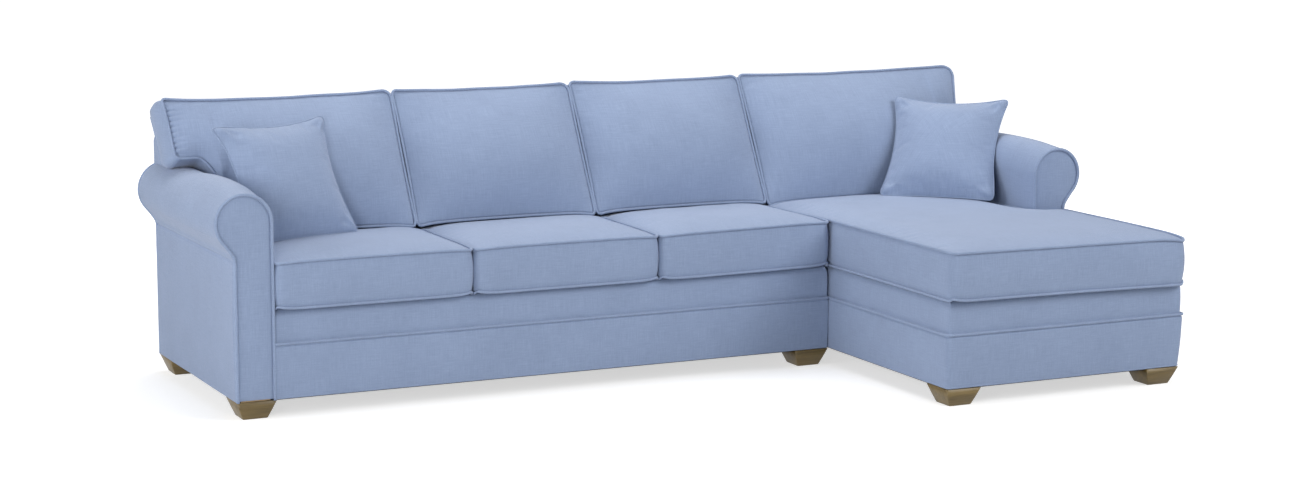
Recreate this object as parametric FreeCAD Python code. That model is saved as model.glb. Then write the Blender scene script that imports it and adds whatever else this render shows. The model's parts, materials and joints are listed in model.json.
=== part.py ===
"""Two-piece sectional sofa: a sofa section with the left arm, and a chaise section with the right arm.

Millimetres, +Z up. The sofa is seen from the front along +Y, with +X to the right.
It is drawn from the front outer corner of the left arm, at the floor, and every piece is
then moved so that the origin lies at the floor under the middle of the whole sofa.
Each section is a wooden frame with seat springs, padding and covers, on tapered feet.
Seat cushions, back cushions and throw pillows are loose: each is a sewn cover on a core.
"""
import FreeCAD, Part
import math
import os

VEC = FreeCAD.Vector

# Plan of the sofa
arm_width = 124.0
seat_count = 3
seat_width = 650.0
chaise_width = 890.0
chaise_reach = 760.0
right_arm_reach = 80.0
section_gap = 0.6

# Heights of the base, each counted from the piece below it
foot_height = 58.0
lower_band_height = 174.0
upper_band_height = 108.0
deck_pad_rise = 3.5

# Bands of the base
lower_band_thickness = 22.0
upper_band_recess = 9.0
upper_band_radius = 26.0
upper_band_turn = 60.0
end_cloth_thickness = 3.0

# Timber and springs of the frames
rail_thickness = 25.0
rail_top_drop = 20.0
cross_rail_drop = 60.0
cross_rail_reach = 250.0
corner_block_size = 118.0
corner_block_height = 45.0
rib_thickness = 20.0
top_rail_height = 42.0
spring_wire = 3.8
spring_pitch = 24.0
spring_half_width = 24.0
spring_bearing = 12.0
springs_per_seat = 3
chaise_spring_count = 4
dust_cover_thickness = 1.6
dust_cover_inset = 14.0

# Back frame: its top over the arms, and its depth at the top behind the cushions
back_lean_deg = 26.5
back_above_arm = 85.0
back_top_depth = 97.2
back_edge_radius = 22.0
inside_back_thickness = 22.0
cover_cloth = 3.0

# Rolled arms
arm_roll_radius = 91.0
arm_roll_rise = 274.0
arm_roll_sweep_deg = 220.0
arm_padding_thickness = 12.0
arm_board_thickness = 18.0
arm_batten = 40.0
facing_thickness = 10.0
facing_setback = 2.0

# Feet and their bolts
foot_top_side = 127.0
foot_bottom_side = 82.0
bolt_diameter = 8.0
bolt_into_foot = 38.0
bolt_into_frame = 36.0
bolt_hole_clearance = 0.05

# Bracket that joins the two sections: a peg on a plate, and a plate with a hole that drops over it
bracket_plate_thickness = 4.0
bracket_plate_width = 50.0
bracket_plate_length = 62.0
bracket_gap = 0.3
peg_diameter = 12.0
peg_height = 15.0
peg_hole_clearance = 1.0
peg_headroom = 8.0
bracket_from_front = 165.0
bracket_from_rear_rail = 93.0

# Seat cushions
seat_overhang = 8.0
seat_depth = 568.0
seat_thickness = 143.0
seat_crown = 34.0
seat_front_draw = 4.0
boxing_bulge = 6.0
chaise_cushion_overhang = 12.0

# Back cushions: their top over the back frame, and their ears over the arms
cushion_above_back = 135.0
back_cushion_thickness = 150.0
back_cushion_belly = 80.0
back_cushion_rear_bulge = 18.0
shoulder_gap = 4.0
back_cushion_corner_radius = 38.0
ear_overhang = 8.0
ear_front_rise = 40.0

# Throw pillows. Each middle is placed from the arm, from the rear of the seat and over the seat's welts
pillow_side = 412.0
pillow_thickness = 150.0
pillow_edge = 8.0
pillow_side_draw = 13.0
pillow_dome_power = 0.75
left_pillow_from_arm = 173.0
left_pillow_from_rear = 175.0
left_pillow_over_seat = 210.0
left_pillow_turn_deg = 15.0
left_pillow_lean_deg = 28.2
right_pillow_from_arm = 126.0
right_pillow_from_rear = 251.0
right_pillow_over_seat = 201.0
right_pillow_turn_deg = -42.4
right_pillow_lean_deg = 37.2

# Shape of the crowns: how full they are at a cushion's sides, where their sections lie, their least rise
edge_crown_share = 0.14
section_places = (0.0, 0.2, 0.5, 0.8, 1.0)
least_rise = 0.14
inner_bulge_ease = 0.25

# Cloth of the loose cushions and the clearances of soft pieces
cushion_cloth = 2.0
pillow_cloth = 1.5
soft_gap = 0.4
press_gap = 1.5

# How far a cutting shape reaches past what it cuts
margin = 1.0

# Levels and planes that follow from the sizes above
base_bottom = foot_height
band_split = base_bottom + lower_band_height
base_top = band_split + upper_band_height
rail_bottom = base_bottom
rail_top = base_top - rail_top_drop
deck_top = base_top + deck_pad_rise
padding_bottom = rail_top + spring_wire + soft_gap / 2
seat_bottom = deck_top + soft_gap
seat_welt_top = seat_bottom + seat_thickness
joint_x = arm_width + seat_count * seat_width
sofa_end_x = joint_x - section_gap / 2
chaise_start_x = joint_x + section_gap / 2
right_x = joint_x + chaise_width
right_arm_inner_x = right_x - arm_width
chaise_front_y = -chaise_reach
right_arm_front_y = -right_arm_reach
seat_front_y = -seat_overhang
seat_rear_y = seat_front_y + seat_depth
chaise_cushion_front_y = chaise_front_y - chaise_cushion_overhang
arm_roll_centre_height = base_top + arm_roll_rise
arm_top = arm_roll_centre_height + arm_roll_radius
back_frame_top = arm_top + back_above_arm
back_cushion_top = back_frame_top + cushion_above_back
ear_front_height = arm_top + ear_front_rise
lean_slope = math.tan(math.radians(back_lean_deg))
lean_cos = math.cos(math.radians(back_lean_deg))
lean_sin = math.sin(math.radians(back_lean_deg))
back_slab = inside_back_thickness / lean_cos
base_depth = seat_rear_y + soft_gap + (back_frame_top - seat_bottom) * lean_slope + back_top_depth
cover_inner_y = base_depth - cover_cloth
rear_rail_y = seat_rear_y + soft_gap + (rail_top - seat_bottom) * lean_slope + back_slab
bracket_places = (bracket_from_front, rear_rail_y - bracket_from_rear_rail)
left_pillow_middle = (arm_width + left_pillow_from_arm, seat_rear_y - left_pillow_from_rear,
                      seat_welt_top + left_pillow_over_seat)
right_pillow_middle = (right_arm_inner_x - right_pillow_from_arm, seat_rear_y - right_pillow_from_rear,
                       seat_welt_top + right_pillow_over_seat)

middle_x = right_x / 2
frontmost_y = chaise_cushion_front_y + seat_front_draw * edge_crown_share - boxing_bulge
middle_y = (base_depth + frontmost_y) / 2

far = right_x + base_depth


def box(x0, x1, y0, y1, z0, z1):
    """A block between two opposite corners."""
    return Part.makeBox(x1 - x0, y1 - y0, z1 - z0, VEC(x0, y0, z0))


def prism_x(points, x0, x1):
    """A solid with the outline (y, z) from x0 to x1."""
    corners = [VEC(x0, y, z) for y, z in points]
    face = Part.Face(Part.makePolygon(corners + corners[:1]))
    return face.extrude(VEC(x1 - x0, 0, 0))


def solids(shapes):
    """Several separate solids of one piece or of one kind."""
    return Part.makeCompound(shapes)


def arc(start, middle, end):
    """An edge that is an arc through three points."""
    return Part.Arc(start, middle, end).toShape()


def line(start, end):
    """A straight edge."""
    return Part.makeLine(start, end)


def back_plane_y(z):
    """Y of the front face of the inside back at a height."""
    return seat_rear_y + soft_gap + (z - seat_bottom) * lean_slope


def cushion_rear_y(z):
    """Y of the plane that the back cushions lean on, just clear of the inside back."""
    return back_plane_y(z) - soft_gap


def cushion_front_y(z):
    """Y of the plane through the front welts of the back cushions."""
    return cushion_rear_y(z) - back_cushion_thickness / lean_cos


def inset_outline(points, inset):
    """A convex outline in two dimensions, drawn counter-clockwise, moved inwards all round."""
    moved = []
    count = len(points)
    for index in range(count):
        before, here, after = points[index - 1], points[index], points[(index + 1) % count]
        first = (here[0] - before[0], here[1] - before[1])
        second = (after[0] - here[0], after[1] - here[1])
        first_length = math.hypot(*first)
        second_length = math.hypot(*second)
        first = (first[0] / first_length, first[1] / first_length)
        second = (second[0] / second_length, second[1] / second_length)
        turn = first[0] * second[1] - first[1] * second[0]
        step = inset / turn
        moved.append((here[0] + (second[0] - first[0]) * step, here[1] + (second[1] - first[1]) * step))
    return moved


# Rolled arms

def arm_face(outer_x, inward, front_y, inset):
    """The arm's outline at front_y: outer side, roll and inner side, each moved in by inset.

    inward is 1 on the left arm and -1 on the right arm, which is its mirror image.
    """
    def at(x, z):
        return VEC(outer_x + inward * x, front_y, z)

    radius = arm_roll_radius - inset
    centre_x = arm_width - arm_roll_radius

    def on_roll(angle_deg):
        angle = math.radians(angle_deg)
        return at(centre_x + radius * math.cos(angle), arm_roll_centre_height + radius * math.sin(angle))

    sweep = math.radians(arm_roll_sweep_deg)
    roll_end_x = centre_x + radius * math.cos(sweep)
    roll_end_z = arm_roll_centre_height + radius * math.sin(sweep)
    throat_z = roll_end_z - (inset - roll_end_x) / math.tan(sweep)
    half = arm_roll_sweep_deg / 2
    edges = [
        line(at(arm_width - inset, base_bottom), on_roll(0)),
        arc(on_roll(0), on_roll(half / 2), on_roll(half)),
        arc(on_roll(half), on_roll((half + arm_roll_sweep_deg) / 2), on_roll(arm_roll_sweep_deg)),
        line(on_roll(arm_roll_sweep_deg), at(inset, throat_z)),
        line(at(inset, throat_z), at(inset, base_bottom)),
        line(at(inset, base_bottom), at(arm_width - inset, base_bottom)),
    ]
    return Part.Face(Part.Wire(edges))


def arm_solid(outer_x, inward, inset, front_y, rear_y):
    """The arm's outline as a solid between two depths."""
    return arm_face(outer_x, inward, front_y, inset).extrude(VEC(0, rear_y - front_y, 0))


def arm_cover(outer_x, inward, front_y):
    """Cloth round the arm, open at its ends and underneath."""
    outer = arm_solid(outer_x, inward, 0, front_y, cover_inner_y)
    start = front_y - margin
    end = cover_inner_y + margin
    inner = arm_solid(outer_x, inward, cover_cloth, start, end)
    under = box(outer_x - arm_width, outer_x + arm_width, start, end, 0, base_bottom)
    return outer.cut(inner).cut(under)


def arm_facings(outer_x, inward, front_y):
    """The padded panels that close the arm's front and rear ends."""
    inset = cover_cloth + soft_gap / 2
    front = arm_solid(outer_x, inward, inset, front_y + facing_setback,
                      front_y + facing_setback + facing_thickness)
    rear = arm_solid(outer_x, inward, inset, cover_inner_y - facing_thickness, cover_inner_y)
    return solids([front, rear])


def arm_boards_range(front_y):
    """Depths between which the arm's boards lie, behind the two facings."""
    return front_y + facing_setback + facing_thickness, cover_inner_y - facing_thickness


def arm_padding(outer_x, inward, front_y):
    """Padding between the arm's boards and its cover."""
    start, end = arm_boards_range(front_y)
    outer = arm_solid(outer_x, inward, cover_cloth + soft_gap / 2, start, end)
    inner = arm_solid(outer_x, inward, cover_cloth + arm_padding_thickness, start - margin, end + margin)
    return outer.cut(inner)


def arm_frame(outer_x, inward, front_y):
    """Two shaped end boards, joined by a base board and battens in the roll."""
    start, end = arm_boards_range(front_y)
    inset = cover_cloth + arm_padding_thickness + soft_gap / 2
    front_board = arm_solid(outer_x, inward, inset, start, start + arm_board_thickness)
    rear_board = arm_solid(outer_x, inward, inset, end - arm_board_thickness, end)
    span_start = start + arm_board_thickness
    span_end = end - arm_board_thickness

    def batten(x0, x1, z0, z1):
        near = outer_x + inward * x0
        far = outer_x + inward * x1
        return box(min(near, far), max(near, far), span_start, span_end, z0, z1)

    centre_x = arm_width - arm_roll_radius
    half = arm_batten / 2
    base_board = batten(inset, arm_width - inset, rail_bottom, rail_bottom + corner_block_height)
    top_batten = batten(centre_x - half, centre_x + half,
                        arm_roll_centre_height, arm_roll_centre_height + arm_batten)
    inner_batten = batten(arm_width - inset - arm_board_thickness, arm_width - inset,
                          base_top, base_top + arm_batten)
    outer_batten = batten(inset, inset + arm_board_thickness, base_top, base_top + arm_batten)
    return solids([front_board, rear_board, base_board, top_batten, inner_batten, outer_batten])


# Bases

def lower_strip(x0, x1, y0, y1):
    """One straight strip of the lower band."""
    return box(x0, x1, y0, y1, base_bottom, band_split)


def upper_strip_profile():
    """Outline (depth, height) of the upper band: its face, rounded top edge and turn over the rail."""
    face = upper_band_recess
    radius = upper_band_radius
    top_arc_middle = radius * (1 - math.sqrt(0.5))
    return {
        "foot": (face, band_split),
        "arc_start": (face, base_top - radius),
        "arc_middle": (face + top_arc_middle, base_top - top_arc_middle),
        "arc_end": (face + radius, base_top),
        "top_end": (upper_band_turn, base_top),
        "turn_under": (upper_band_turn, padding_bottom),
        "inner": (lower_band_thickness, padding_bottom),
        "inner_foot": (lower_band_thickness, band_split),
    }


def upper_strip(start, outward, length):
    """One straight strip of the upper band, facing outward, running anticlockwise seen from above."""
    profile = upper_strip_profile()
    along = VEC(0, 0, 1).cross(outward)

    def at(name):
        depth, height = profile[name]
        return VEC(start.x - outward.x * depth, start.y - outward.y * depth, height)

    edges = [
        line(at("foot"), at("arc_start")),
        arc(at("arc_start"), at("arc_middle"), at("arc_end")),
        line(at("arc_end"), at("top_end")),
        line(at("top_end"), at("turn_under")),
        line(at("turn_under"), at("inner")),
        line(at("inner"), at("inner_foot")),
        line(at("inner_foot"), at("foot")),
    ]
    return Part.Face(Part.Wire(edges)).extrude(along * length)


def foot(centre_x, centre_y):
    """A block that tapers towards the floor, with a hole for its bolt."""
    def square(side, z):
        half = side / 2
        corners = [(-half, -half), (half, -half), (half, half), (-half, half)]
        points = [VEC(centre_x + x, centre_y + y, z) for x, y in corners]
        return Part.makePolygon(points + points[:1])

    block = Part.makeLoft([square(foot_bottom_side, 0), square(foot_top_side, rail_bottom)], True, True)
    hole = Part.makeCylinder(bolt_diameter / 2 + bolt_hole_clearance, bolt_into_foot + margin,
                             VEC(centre_x, centre_y, rail_bottom - bolt_into_foot))
    return block.cut(hole)


def foot_bolt(centre_x, centre_y):
    """The threaded rod that holds a foot to the wood above it."""
    return Part.makeCylinder(bolt_diameter / 2, bolt_into_foot + bolt_into_frame,
                             VEC(centre_x, centre_y, rail_bottom - bolt_into_foot))


def bolt_room(centres):
    """What the bolts take out of the wood above the feet."""
    radius = bolt_diameter / 2 + bolt_hole_clearance
    height = bolt_into_frame + soft_gap
    return [Part.makeCylinder(radius, height, VEC(x, y, rail_bottom)) for x, y in centres]


def feet_room(centres):
    """What the feet and their tops take out of the dust cover and the bands."""
    half = foot_top_side / 2 + soft_gap
    return [box(x - half, x + half, y - half, y + half, 0, rail_bottom) for x, y in centres]


def cut_all(shape, tools):
    """A shape less several others."""
    for tool in tools:
        shape = shape.cut(tool)
    return shape


def sinuous_spring(centre_x, y0, y1):
    """A flat zigzag wire from rail to rail: half turns joined by straight runs across."""
    level = rail_top
    turn_radius = spring_pitch / 2
    run = spring_half_width - turn_radius
    count = int((y1 - y0) // spring_pitch)
    start_y = (y0 + y1 - count * spring_pitch) / 2
    edges = []
    side = 1
    for index in range(count):
        here = start_y + index * spring_pitch
        there = here + spring_pitch
        edges.append(line(VEC(centre_x - side * run, here, level), VEC(centre_x + side * run, here, level)))
        edges.append(arc(VEC(centre_x + side * run, here, level),
                         VEC(centre_x + side * spring_half_width, (here + there) / 2, level),
                         VEC(centre_x + side * run, there, level)))
        side = -side
    last = start_y + count * spring_pitch
    edges.append(line(VEC(centre_x - side * run, last, level), VEC(centre_x + side * run, last, level)))
    path = Part.Wire(edges)
    face = path.makeOffset2D(spring_wire / 2, 0, True, True, False)
    return face.extrude(VEC(0, 0, spring_wire))


def sofa_feet_centres():
    """Middles of the sofa section's feet, at its four corners."""
    half = foot_top_side / 2
    return [(x, y) for x in (half, sofa_end_x - half) for y in (half, base_depth - half)]


def chaise_feet_centres():
    """Middles of the chaise section's feet, at its four corners."""
    half = foot_top_side / 2
    return [(x, y) for x in (chaise_start_x + half, right_x - half)
            for y in (chaise_front_y + half, base_depth - half)]


def back_rib(x):
    """A shaped board that carries the back: leaning at its front, upright at its rear."""
    front = rear_rail_y
    top = back_frame_top - cover_cloth - top_rail_height
    points = [
        (front + rail_thickness, rail_bottom), (cover_inner_y, rail_bottom), (cover_inner_y, top),
        (back_plane_y(top) + back_slab, top), (front, rail_top), (front + rail_thickness, rail_top),
    ]
    return prism_x(points, x, x + rib_thickness)


def top_rail(x0, x1):
    """The rail along the top of the back, on the ribs."""
    bottom = back_frame_top - cover_cloth - top_rail_height
    top = back_frame_top - cover_cloth
    rounding = back_edge_radius
    points = [
        (back_plane_y(bottom) + back_slab, bottom), (cover_inner_y, bottom),
        (cover_inner_y, top - rounding), (cover_inner_y - rounding, top),
        (back_plane_y(top) + back_slab, top),
    ]
    return prism_x(points, x0, x1)


def back_frame(x0, x1, rib_count):
    """Ribs spread evenly between two places, and the top rail on them."""
    step = (x1 - x0 - rib_thickness) / (rib_count - 1)
    ribs = [back_rib(x0 + index * step) for index in range(rib_count)]
    return ribs + [top_rail(x0, x1)]


def inside_back(x0, x1, wing_x0, wing_x1):
    """The padded panel behind the back cushions, with a wing over the arm."""
    def slab(left, right, bottom):
        top = back_frame_top
        points = [
            (back_plane_y(bottom), bottom), (back_plane_y(bottom) + back_slab, bottom),
            (back_plane_y(top) + back_slab, top), (back_plane_y(top), top),
        ]
        return prism_x(points, left, right)

    return slab(x0, x1, padding_bottom).fuse(slab(wing_x0, wing_x1, arm_top + soft_gap)).removeSplitter()


def back_cover(x0, x1, left_end, right_end):
    """Cloth over the back: a rear sheet, a top sheet with a rounded edge, and a cheek at the outer end."""
    def block(inset, left, right):
        top = back_frame_top - inset
        rear = base_depth - inset
        radius = back_edge_radius - inset
        corner = radius * (1 - math.sqrt(0.5))
        points = [VEC(left, back_plane_y(arm_top) + back_slab, arm_top),
                  VEC(left, back_plane_y(top) + back_slab, top),
                  VEC(left, rear - radius, top), VEC(left, rear - corner, top - corner),
                  VEC(left, rear, top - radius), VEC(left, rear, base_bottom),
                  VEC(left, cover_inner_y - inset, base_bottom), VEC(left, cover_inner_y - inset, arm_top)]
        edges = [line(points[0], points[1]), line(points[1], points[2]),
                 arc(points[2], points[3], points[4]), line(points[4], points[5]),
                 line(points[5], points[6]), line(points[6], points[7]), line(points[7], points[0])]
        return Part.Face(Part.Wire(edges)).extrude(VEC(right - left, 0, 0))

    outer = block(0, x0, x1)
    inner_x0 = x0 + (cover_cloth if left_end else -margin)
    inner_x1 = x1 - (cover_cloth if right_end else -margin)
    hollow = block(cover_cloth, inner_x0, inner_x1)
    below = box(inner_x0, inner_x1, 0, cover_inner_y, 0, arm_top + margin)
    front_strip = box(inner_x0, inner_x1, 0, back_plane_y(back_frame_top - cover_cloth) + back_slab,
                      arm_top, back_frame_top - cover_cloth)
    return cut_all(outer, [hollow, below, front_strip])


# Connecting brackets

def bracket_peg_x():
    """X of the pegs, under the chaise section's left rail."""
    return chaise_start_x + lower_band_thickness + rail_thickness / 2


def sofa_bracket(y):
    """A plate under the sofa section's end rail, with a peg that stands under the chaise section."""
    plate_top = rail_bottom - bracket_plate_thickness - bracket_gap
    plate_bottom = plate_top - bracket_plate_thickness
    half = bracket_plate_width / 2
    peg_x = bracket_peg_x()
    rail_x = sofa_end_x - end_cloth_thickness
    start = rail_x - bracket_plate_length
    plate = box(start, peg_x + peg_diameter, y - half, y + half, plate_bottom, plate_top)
    packer = box(start, rail_x - soft_gap, y - half, y + half, plate_top, rail_bottom)
    peg = Part.makeCylinder(peg_diameter / 2, peg_height + bracket_plate_thickness,
                            VEC(peg_x, y, plate_top))
    return plate.fuse(packer).fuse(peg).removeSplitter()


def chaise_bracket(y):
    """A plate under the chaise section's rail, with the hole that drops over the peg."""
    half = bracket_plate_width / 2
    start = chaise_start_x + lower_band_thickness
    plate = box(start + soft_gap, start + bracket_plate_length, y - half, y + half,
                rail_bottom - bracket_plate_thickness, rail_bottom)
    return plate.cut(peg_room(y))


def peg_room(y):
    """What a peg takes out of the chaise section's bracket and rail."""
    radius = peg_diameter / 2 + peg_hole_clearance
    below = bracket_plate_thickness + margin
    return Part.makeCylinder(radius, below + peg_height + peg_headroom,
                             VEC(bracket_peg_x(), y, rail_bottom - below))


def bracket_room():
    """What the brackets take out of the dust covers."""
    half = bracket_plate_width / 2 + soft_gap
    reach = bracket_plate_length + end_cloth_thickness + lower_band_thickness + soft_gap
    x0 = joint_x - reach
    x1 = joint_x + reach
    return [box(x0, x1, y - half, y + half, 0, rail_bottom) for y in bracket_places]


# Loose cushions

def crown_share(fraction):
    """How much of the crown a section has, from one side of a cushion (0) to the other (1)."""
    return edge_crown_share + (1 - edge_crown_share) * (1 - (2 * fraction - 1) ** 2)


def seat_form(x0, x1, front_y, rear_y, inset):
    """A boxed seat cushion: flat underneath, crowned on top, with a bulging front and rear boxing."""
    z0 = seat_bottom + inset
    z1 = seat_welt_top - inset
    sections = []
    for place in section_places:
        x = x0 + inset + (x1 - x0 - 2 * inset) * place
        share = crown_share(place)
        front = front_y + inset + seat_front_draw * share
        rear = rear_y - inset - boxing_bulge - seat_front_draw * share
        level = (z0 + z1) / 2
        points = {
            "rear_foot": VEC(x, rear, z0), "front_foot": VEC(x, front, z0), "front_top": VEC(x, front, z1),
            "rear_top": VEC(x, rear, z1), "front_mid": VEC(x, front - boxing_bulge, level),
            "rear_mid": VEC(x, rear + boxing_bulge, level),
            "crown": VEC(x, (front + rear) / 2, z1 + seat_crown * share),
        }
        edges = [
            line(points["rear_foot"], points["front_foot"]),
            arc(points["front_foot"], points["front_mid"], points["front_top"]),
            arc(points["front_top"], points["crown"], points["rear_top"]),
            arc(points["rear_top"], points["rear_mid"], points["rear_foot"]),
        ]
        sections.append(Part.Wire(edges))
    return Part.makeLoft(sections, True)


def crown_height(front_y, rear_y, y, share):
    """Height of a seat cushion's crown over its top welts at a depth y."""
    half = (rear_y - front_y) / 2
    rise = seat_crown * share
    radius = (half ** 2 + rise ** 2) / (2 * rise)
    offset = y - (front_y + rear_y) / 2
    return math.sqrt(radius ** 2 - offset ** 2) - (radius - rise)


def cushion_pair(form, cloth):
    """The sewn cover of a cushion and the core in it, from a form that takes an inset."""
    cover = form(0).cut(form(cloth))
    core = form(cloth + soft_gap)
    return cover, core


def seat_cushion(index):
    """One of the sofa section's seat cushions, counted from the left arm."""
    x0 = arm_width + index * seat_width + soft_gap
    x1 = arm_width + (index + 1) * seat_width - soft_gap
    return cushion_pair(lambda inset: seat_form(x0, x1, seat_front_y, seat_rear_y, inset), cushion_cloth)


def chaise_cushion():
    """The long cushion of the chaise: narrow beside the arm, as wide as the section in front of it."""
    def form(inset):
        block = seat_form(chaise_start_x + soft_gap, right_x, chaise_cushion_front_y, seat_rear_y, inset)
        notch = box(right_arm_inner_x - soft_gap - inset, right_x + margin,
                    right_arm_front_y - soft_gap - inset, base_depth, 0, back_cushion_top)
        return block.cut(notch)

    return cushion_pair(form, cushion_cloth)


def back_section(x, bottom, share, inset):
    """Closed section of a back cushion at x: flat foot and rear, and a belly, top and rear bulge."""
    shoulder = back_frame_top + shoulder_gap
    top_rear_z = back_cushion_top - back_cushion_thickness * lean_sin
    outline = [
        (cushion_front_y(bottom), bottom), (cushion_rear_y(bottom), bottom),
        (cushion_rear_y(shoulder), shoulder), (cushion_rear_y(top_rear_z), top_rear_z),
        (cushion_front_y(back_cushion_top), back_cushion_top),
    ]
    if inset > 0:
        moved = inset_outline(outline[:2] + outline[3:], inset)
        rear_share = (shoulder - bottom) / (top_rear_z - bottom)
        foot_point, head_point = moved[1], moved[2]
        knee = (foot_point[0] + (head_point[0] - foot_point[0]) * rear_share,
                foot_point[1] + (head_point[1] - foot_point[1]) * rear_share)
        outline = moved[:2] + [knee] + moved[2:]
    foot_front, foot_rear, knee, head_rear, head_front = outline
    belly = back_cushion_belly * share
    rear_bulge = max(back_cushion_rear_bulge * share - inset * inner_bulge_ease, least_rise)
    top_bulge = boxing_bulge * share + least_rise

    def point(pair):
        return VEC(x, pair[0], pair[1])

    def bulged(first, second, rise):
        along = (second[0] - first[0], second[1] - first[1])
        length = math.hypot(*along)
        middle = ((first[0] + second[0]) / 2, (first[1] + second[1]) / 2)
        return point((middle[0] + along[1] / length * rise, middle[1] - along[0] / length * rise))

    edges = [
        line(point(foot_front), point(foot_rear)),
        line(point(foot_rear), point(knee)),
        arc(point(knee), bulged(knee, head_rear, rear_bulge), point(head_rear)),
        arc(point(head_rear), bulged(head_rear, head_front, top_bulge), point(head_front)),
        arc(point(head_front), bulged(head_front, foot_front, belly), point(foot_front)),
    ]
    return Part.Wire(edges)


def back_outline(x0, x1, ear_side, inset):
    """Outline of a back cushion seen square to its face, rounded at its top corners, as a thick block.

    ear_side is -1 for an ear over the left arm, 1 for one over the right arm, and 0 for none.
    """
    bottom = seat_bottom
    left = x0 + inset
    right = x1 - inset
    top = back_cushion_top - inset
    radius = back_cushion_corner_radius
    corner = radius * (1 - math.sqrt(0.5))
    ear_z = ear_front_height + inset
    neck_left = arm_width + soft_gap + inset
    neck_right = right_arm_inner_x - soft_gap - inset
    points = [(left, bottom), (right, bottom)]
    if ear_side > 0:
        points = [(left, bottom), (neck_right, bottom), (neck_right, ear_z), (right, ear_z)]
    if ear_side < 0:
        points = [(left, ear_z), (neck_left, ear_z), (neck_left, bottom), (right, bottom)]

    def at(x, z):
        return VEC(x, cushion_front_y(z), z)

    edges = [line(at(*first), at(*second)) for first, second in zip(points, points[1:])]
    edges.append(line(at(*points[-1]), at(right, top - radius)))
    edges.append(arc(at(right, top - radius), at(right - corner, top - corner), at(right - radius, top)))
    edges.append(line(at(right - radius, top), at(left + radius, top)))
    edges.append(arc(at(left + radius, top), at(left + corner, top - corner), at(left, top - radius)))
    edges.append(line(at(left, top - radius), at(*points[0])))
    face = Part.Face(Part.Wire(edges))
    forward = VEC(0, -lean_cos, lean_sin)
    reach = 2 * (back_cushion_thickness + back_cushion_belly)
    face.translate(forward * reach)
    return face.extrude(forward * (-2 * reach))


def cushion_foot_z(seat_front, seat_rear):
    """Level at which a back cushion's foot clears the fullest part of the crown under it."""
    level = seat_welt_top
    for _ in range(2):
        level = seat_welt_top + crown_height(seat_front, seat_rear, cushion_front_y(level), 1)
    return level + press_gap


def back_cushion(seat_x0, seat_x1, x0, x1, seat_front, seat_rear, ear_side):
    """A boxed back cushion that stands on the seat, with an ear over the arm if it has one."""
    span = seat_x1 - seat_x0
    bottom = cushion_foot_z(seat_front, seat_rear)

    def form(inset):
        places = [(seat_x0 + span * place, crown_share(place)) for place in section_places]
        if ear_side < 0:
            places[0] = (x0, crown_share(0.0))
        if ear_side > 0:
            places[-1] = (x1, crown_share(1.0))
        places[0] = (places[0][0] + inset, places[0][1])
        places[-1] = (places[-1][0] - inset, places[-1][1])
        wires = [back_section(x, bottom, share, inset) for x, share in places]
        body = Part.makeLoft(wires, True).common(back_outline(x0, x1, ear_side, inset))
        over_arm = arm_top + soft_gap + inset
        if ear_side < 0:
            body = body.cut(box(x0 - margin, arm_width + soft_gap + inset, 0, base_depth, 0, over_arm))
        if ear_side > 0:
            arm_side = right_arm_inner_x - soft_gap - inset
            body = body.cut(box(arm_side, x1 + margin, 0, base_depth, 0, over_arm))
        return body

    return cushion_pair(form, cushion_cloth)


def pillow_form(middle, turn_deg, lean_deg, inset):
    """A knife-edge pillow: two domed faces that meet at its sides, with pointed corners."""
    half = pillow_side / 2 - inset
    edge = pillow_edge / 2 - inset
    dome = pillow_thickness / 2 - inset
    sections = []
    for place in section_places:
        u = -half + 2 * half * place
        thick = edge + (dome - edge) * (1 - (2 * place - 1) ** 2) ** pillow_dome_power + least_rise
        edges = [
            line(VEC(u, -edge, -half), VEC(u, edge, -half)),
            arc(VEC(u, edge, -half), VEC(u, thick, 0), VEC(u, edge, half)),
            line(VEC(u, edge, half), VEC(u, -edge, half)),
            arc(VEC(u, -edge, half), VEC(u, -thick, 0), VEC(u, -edge, -half)),
        ]
        sections.append(Part.Wire(edges))
    body = Part.makeLoft(sections, True)
    places = ((-half, -half), (half, -half), (half, half), (-half, half))
    corners = [VEC(x, -pillow_thickness, z) for x, z in places]
    edges = []
    for index, start in enumerate(corners):
        end = corners[(index + 1) % len(corners)]
        middle_point = (start + end) * 0.5
        towards = VEC(-middle_point.x, 0, -middle_point.z)
        towards.normalize()
        edges.append(arc(start, middle_point + towards * pillow_side_draw, end))
    body = body.common(Part.Face(Part.Wire(edges)).extrude(VEC(0, 2 * pillow_thickness, 0)))
    body.rotate(VEC(0, 0, 0), VEC(1, 0, 0), -lean_deg)
    body.rotate(VEC(0, 0, 0), VEC(0, 0, 1), turn_deg)
    body.translate(VEC(*middle))
    return body


def pillow(middle, turn_deg, lean_deg, arm_x, arm_inward):
    """A throw pillow with a flat where it rests on the seat, and one along its side on the arm's roll."""
    side_slope = math.sin(math.radians(abs(turn_deg))) * math.tan(math.radians(lean_deg))
    side_tilt_deg = math.degrees(math.atan(side_slope))
    roll_x = arm_x + arm_inward * (arm_width - arm_roll_radius)

    def form(inset):
        body = pillow_form(middle, turn_deg, lean_deg, inset)
        rest = seat_welt_top + seat_crown + soft_gap + inset
        seat = box(-far, far, -far, far, 0, rest)
        reach = arm_roll_radius + soft_gap + inset
        arm = box(-far, reach, -far, far, -far, far)
        if arm_inward < 0:
            arm = box(-reach, far, -far, far, -far, far)
        arm.rotate(VEC(0, 0, 0), VEC(0, 1, 0), -arm_inward * side_tilt_deg)
        arm.translate(VEC(roll_x, 0, arm_roll_centre_height))
        return body.cut(seat).cut(arm)

    return cushion_pair(form, pillow_cloth)


# Sections

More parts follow.
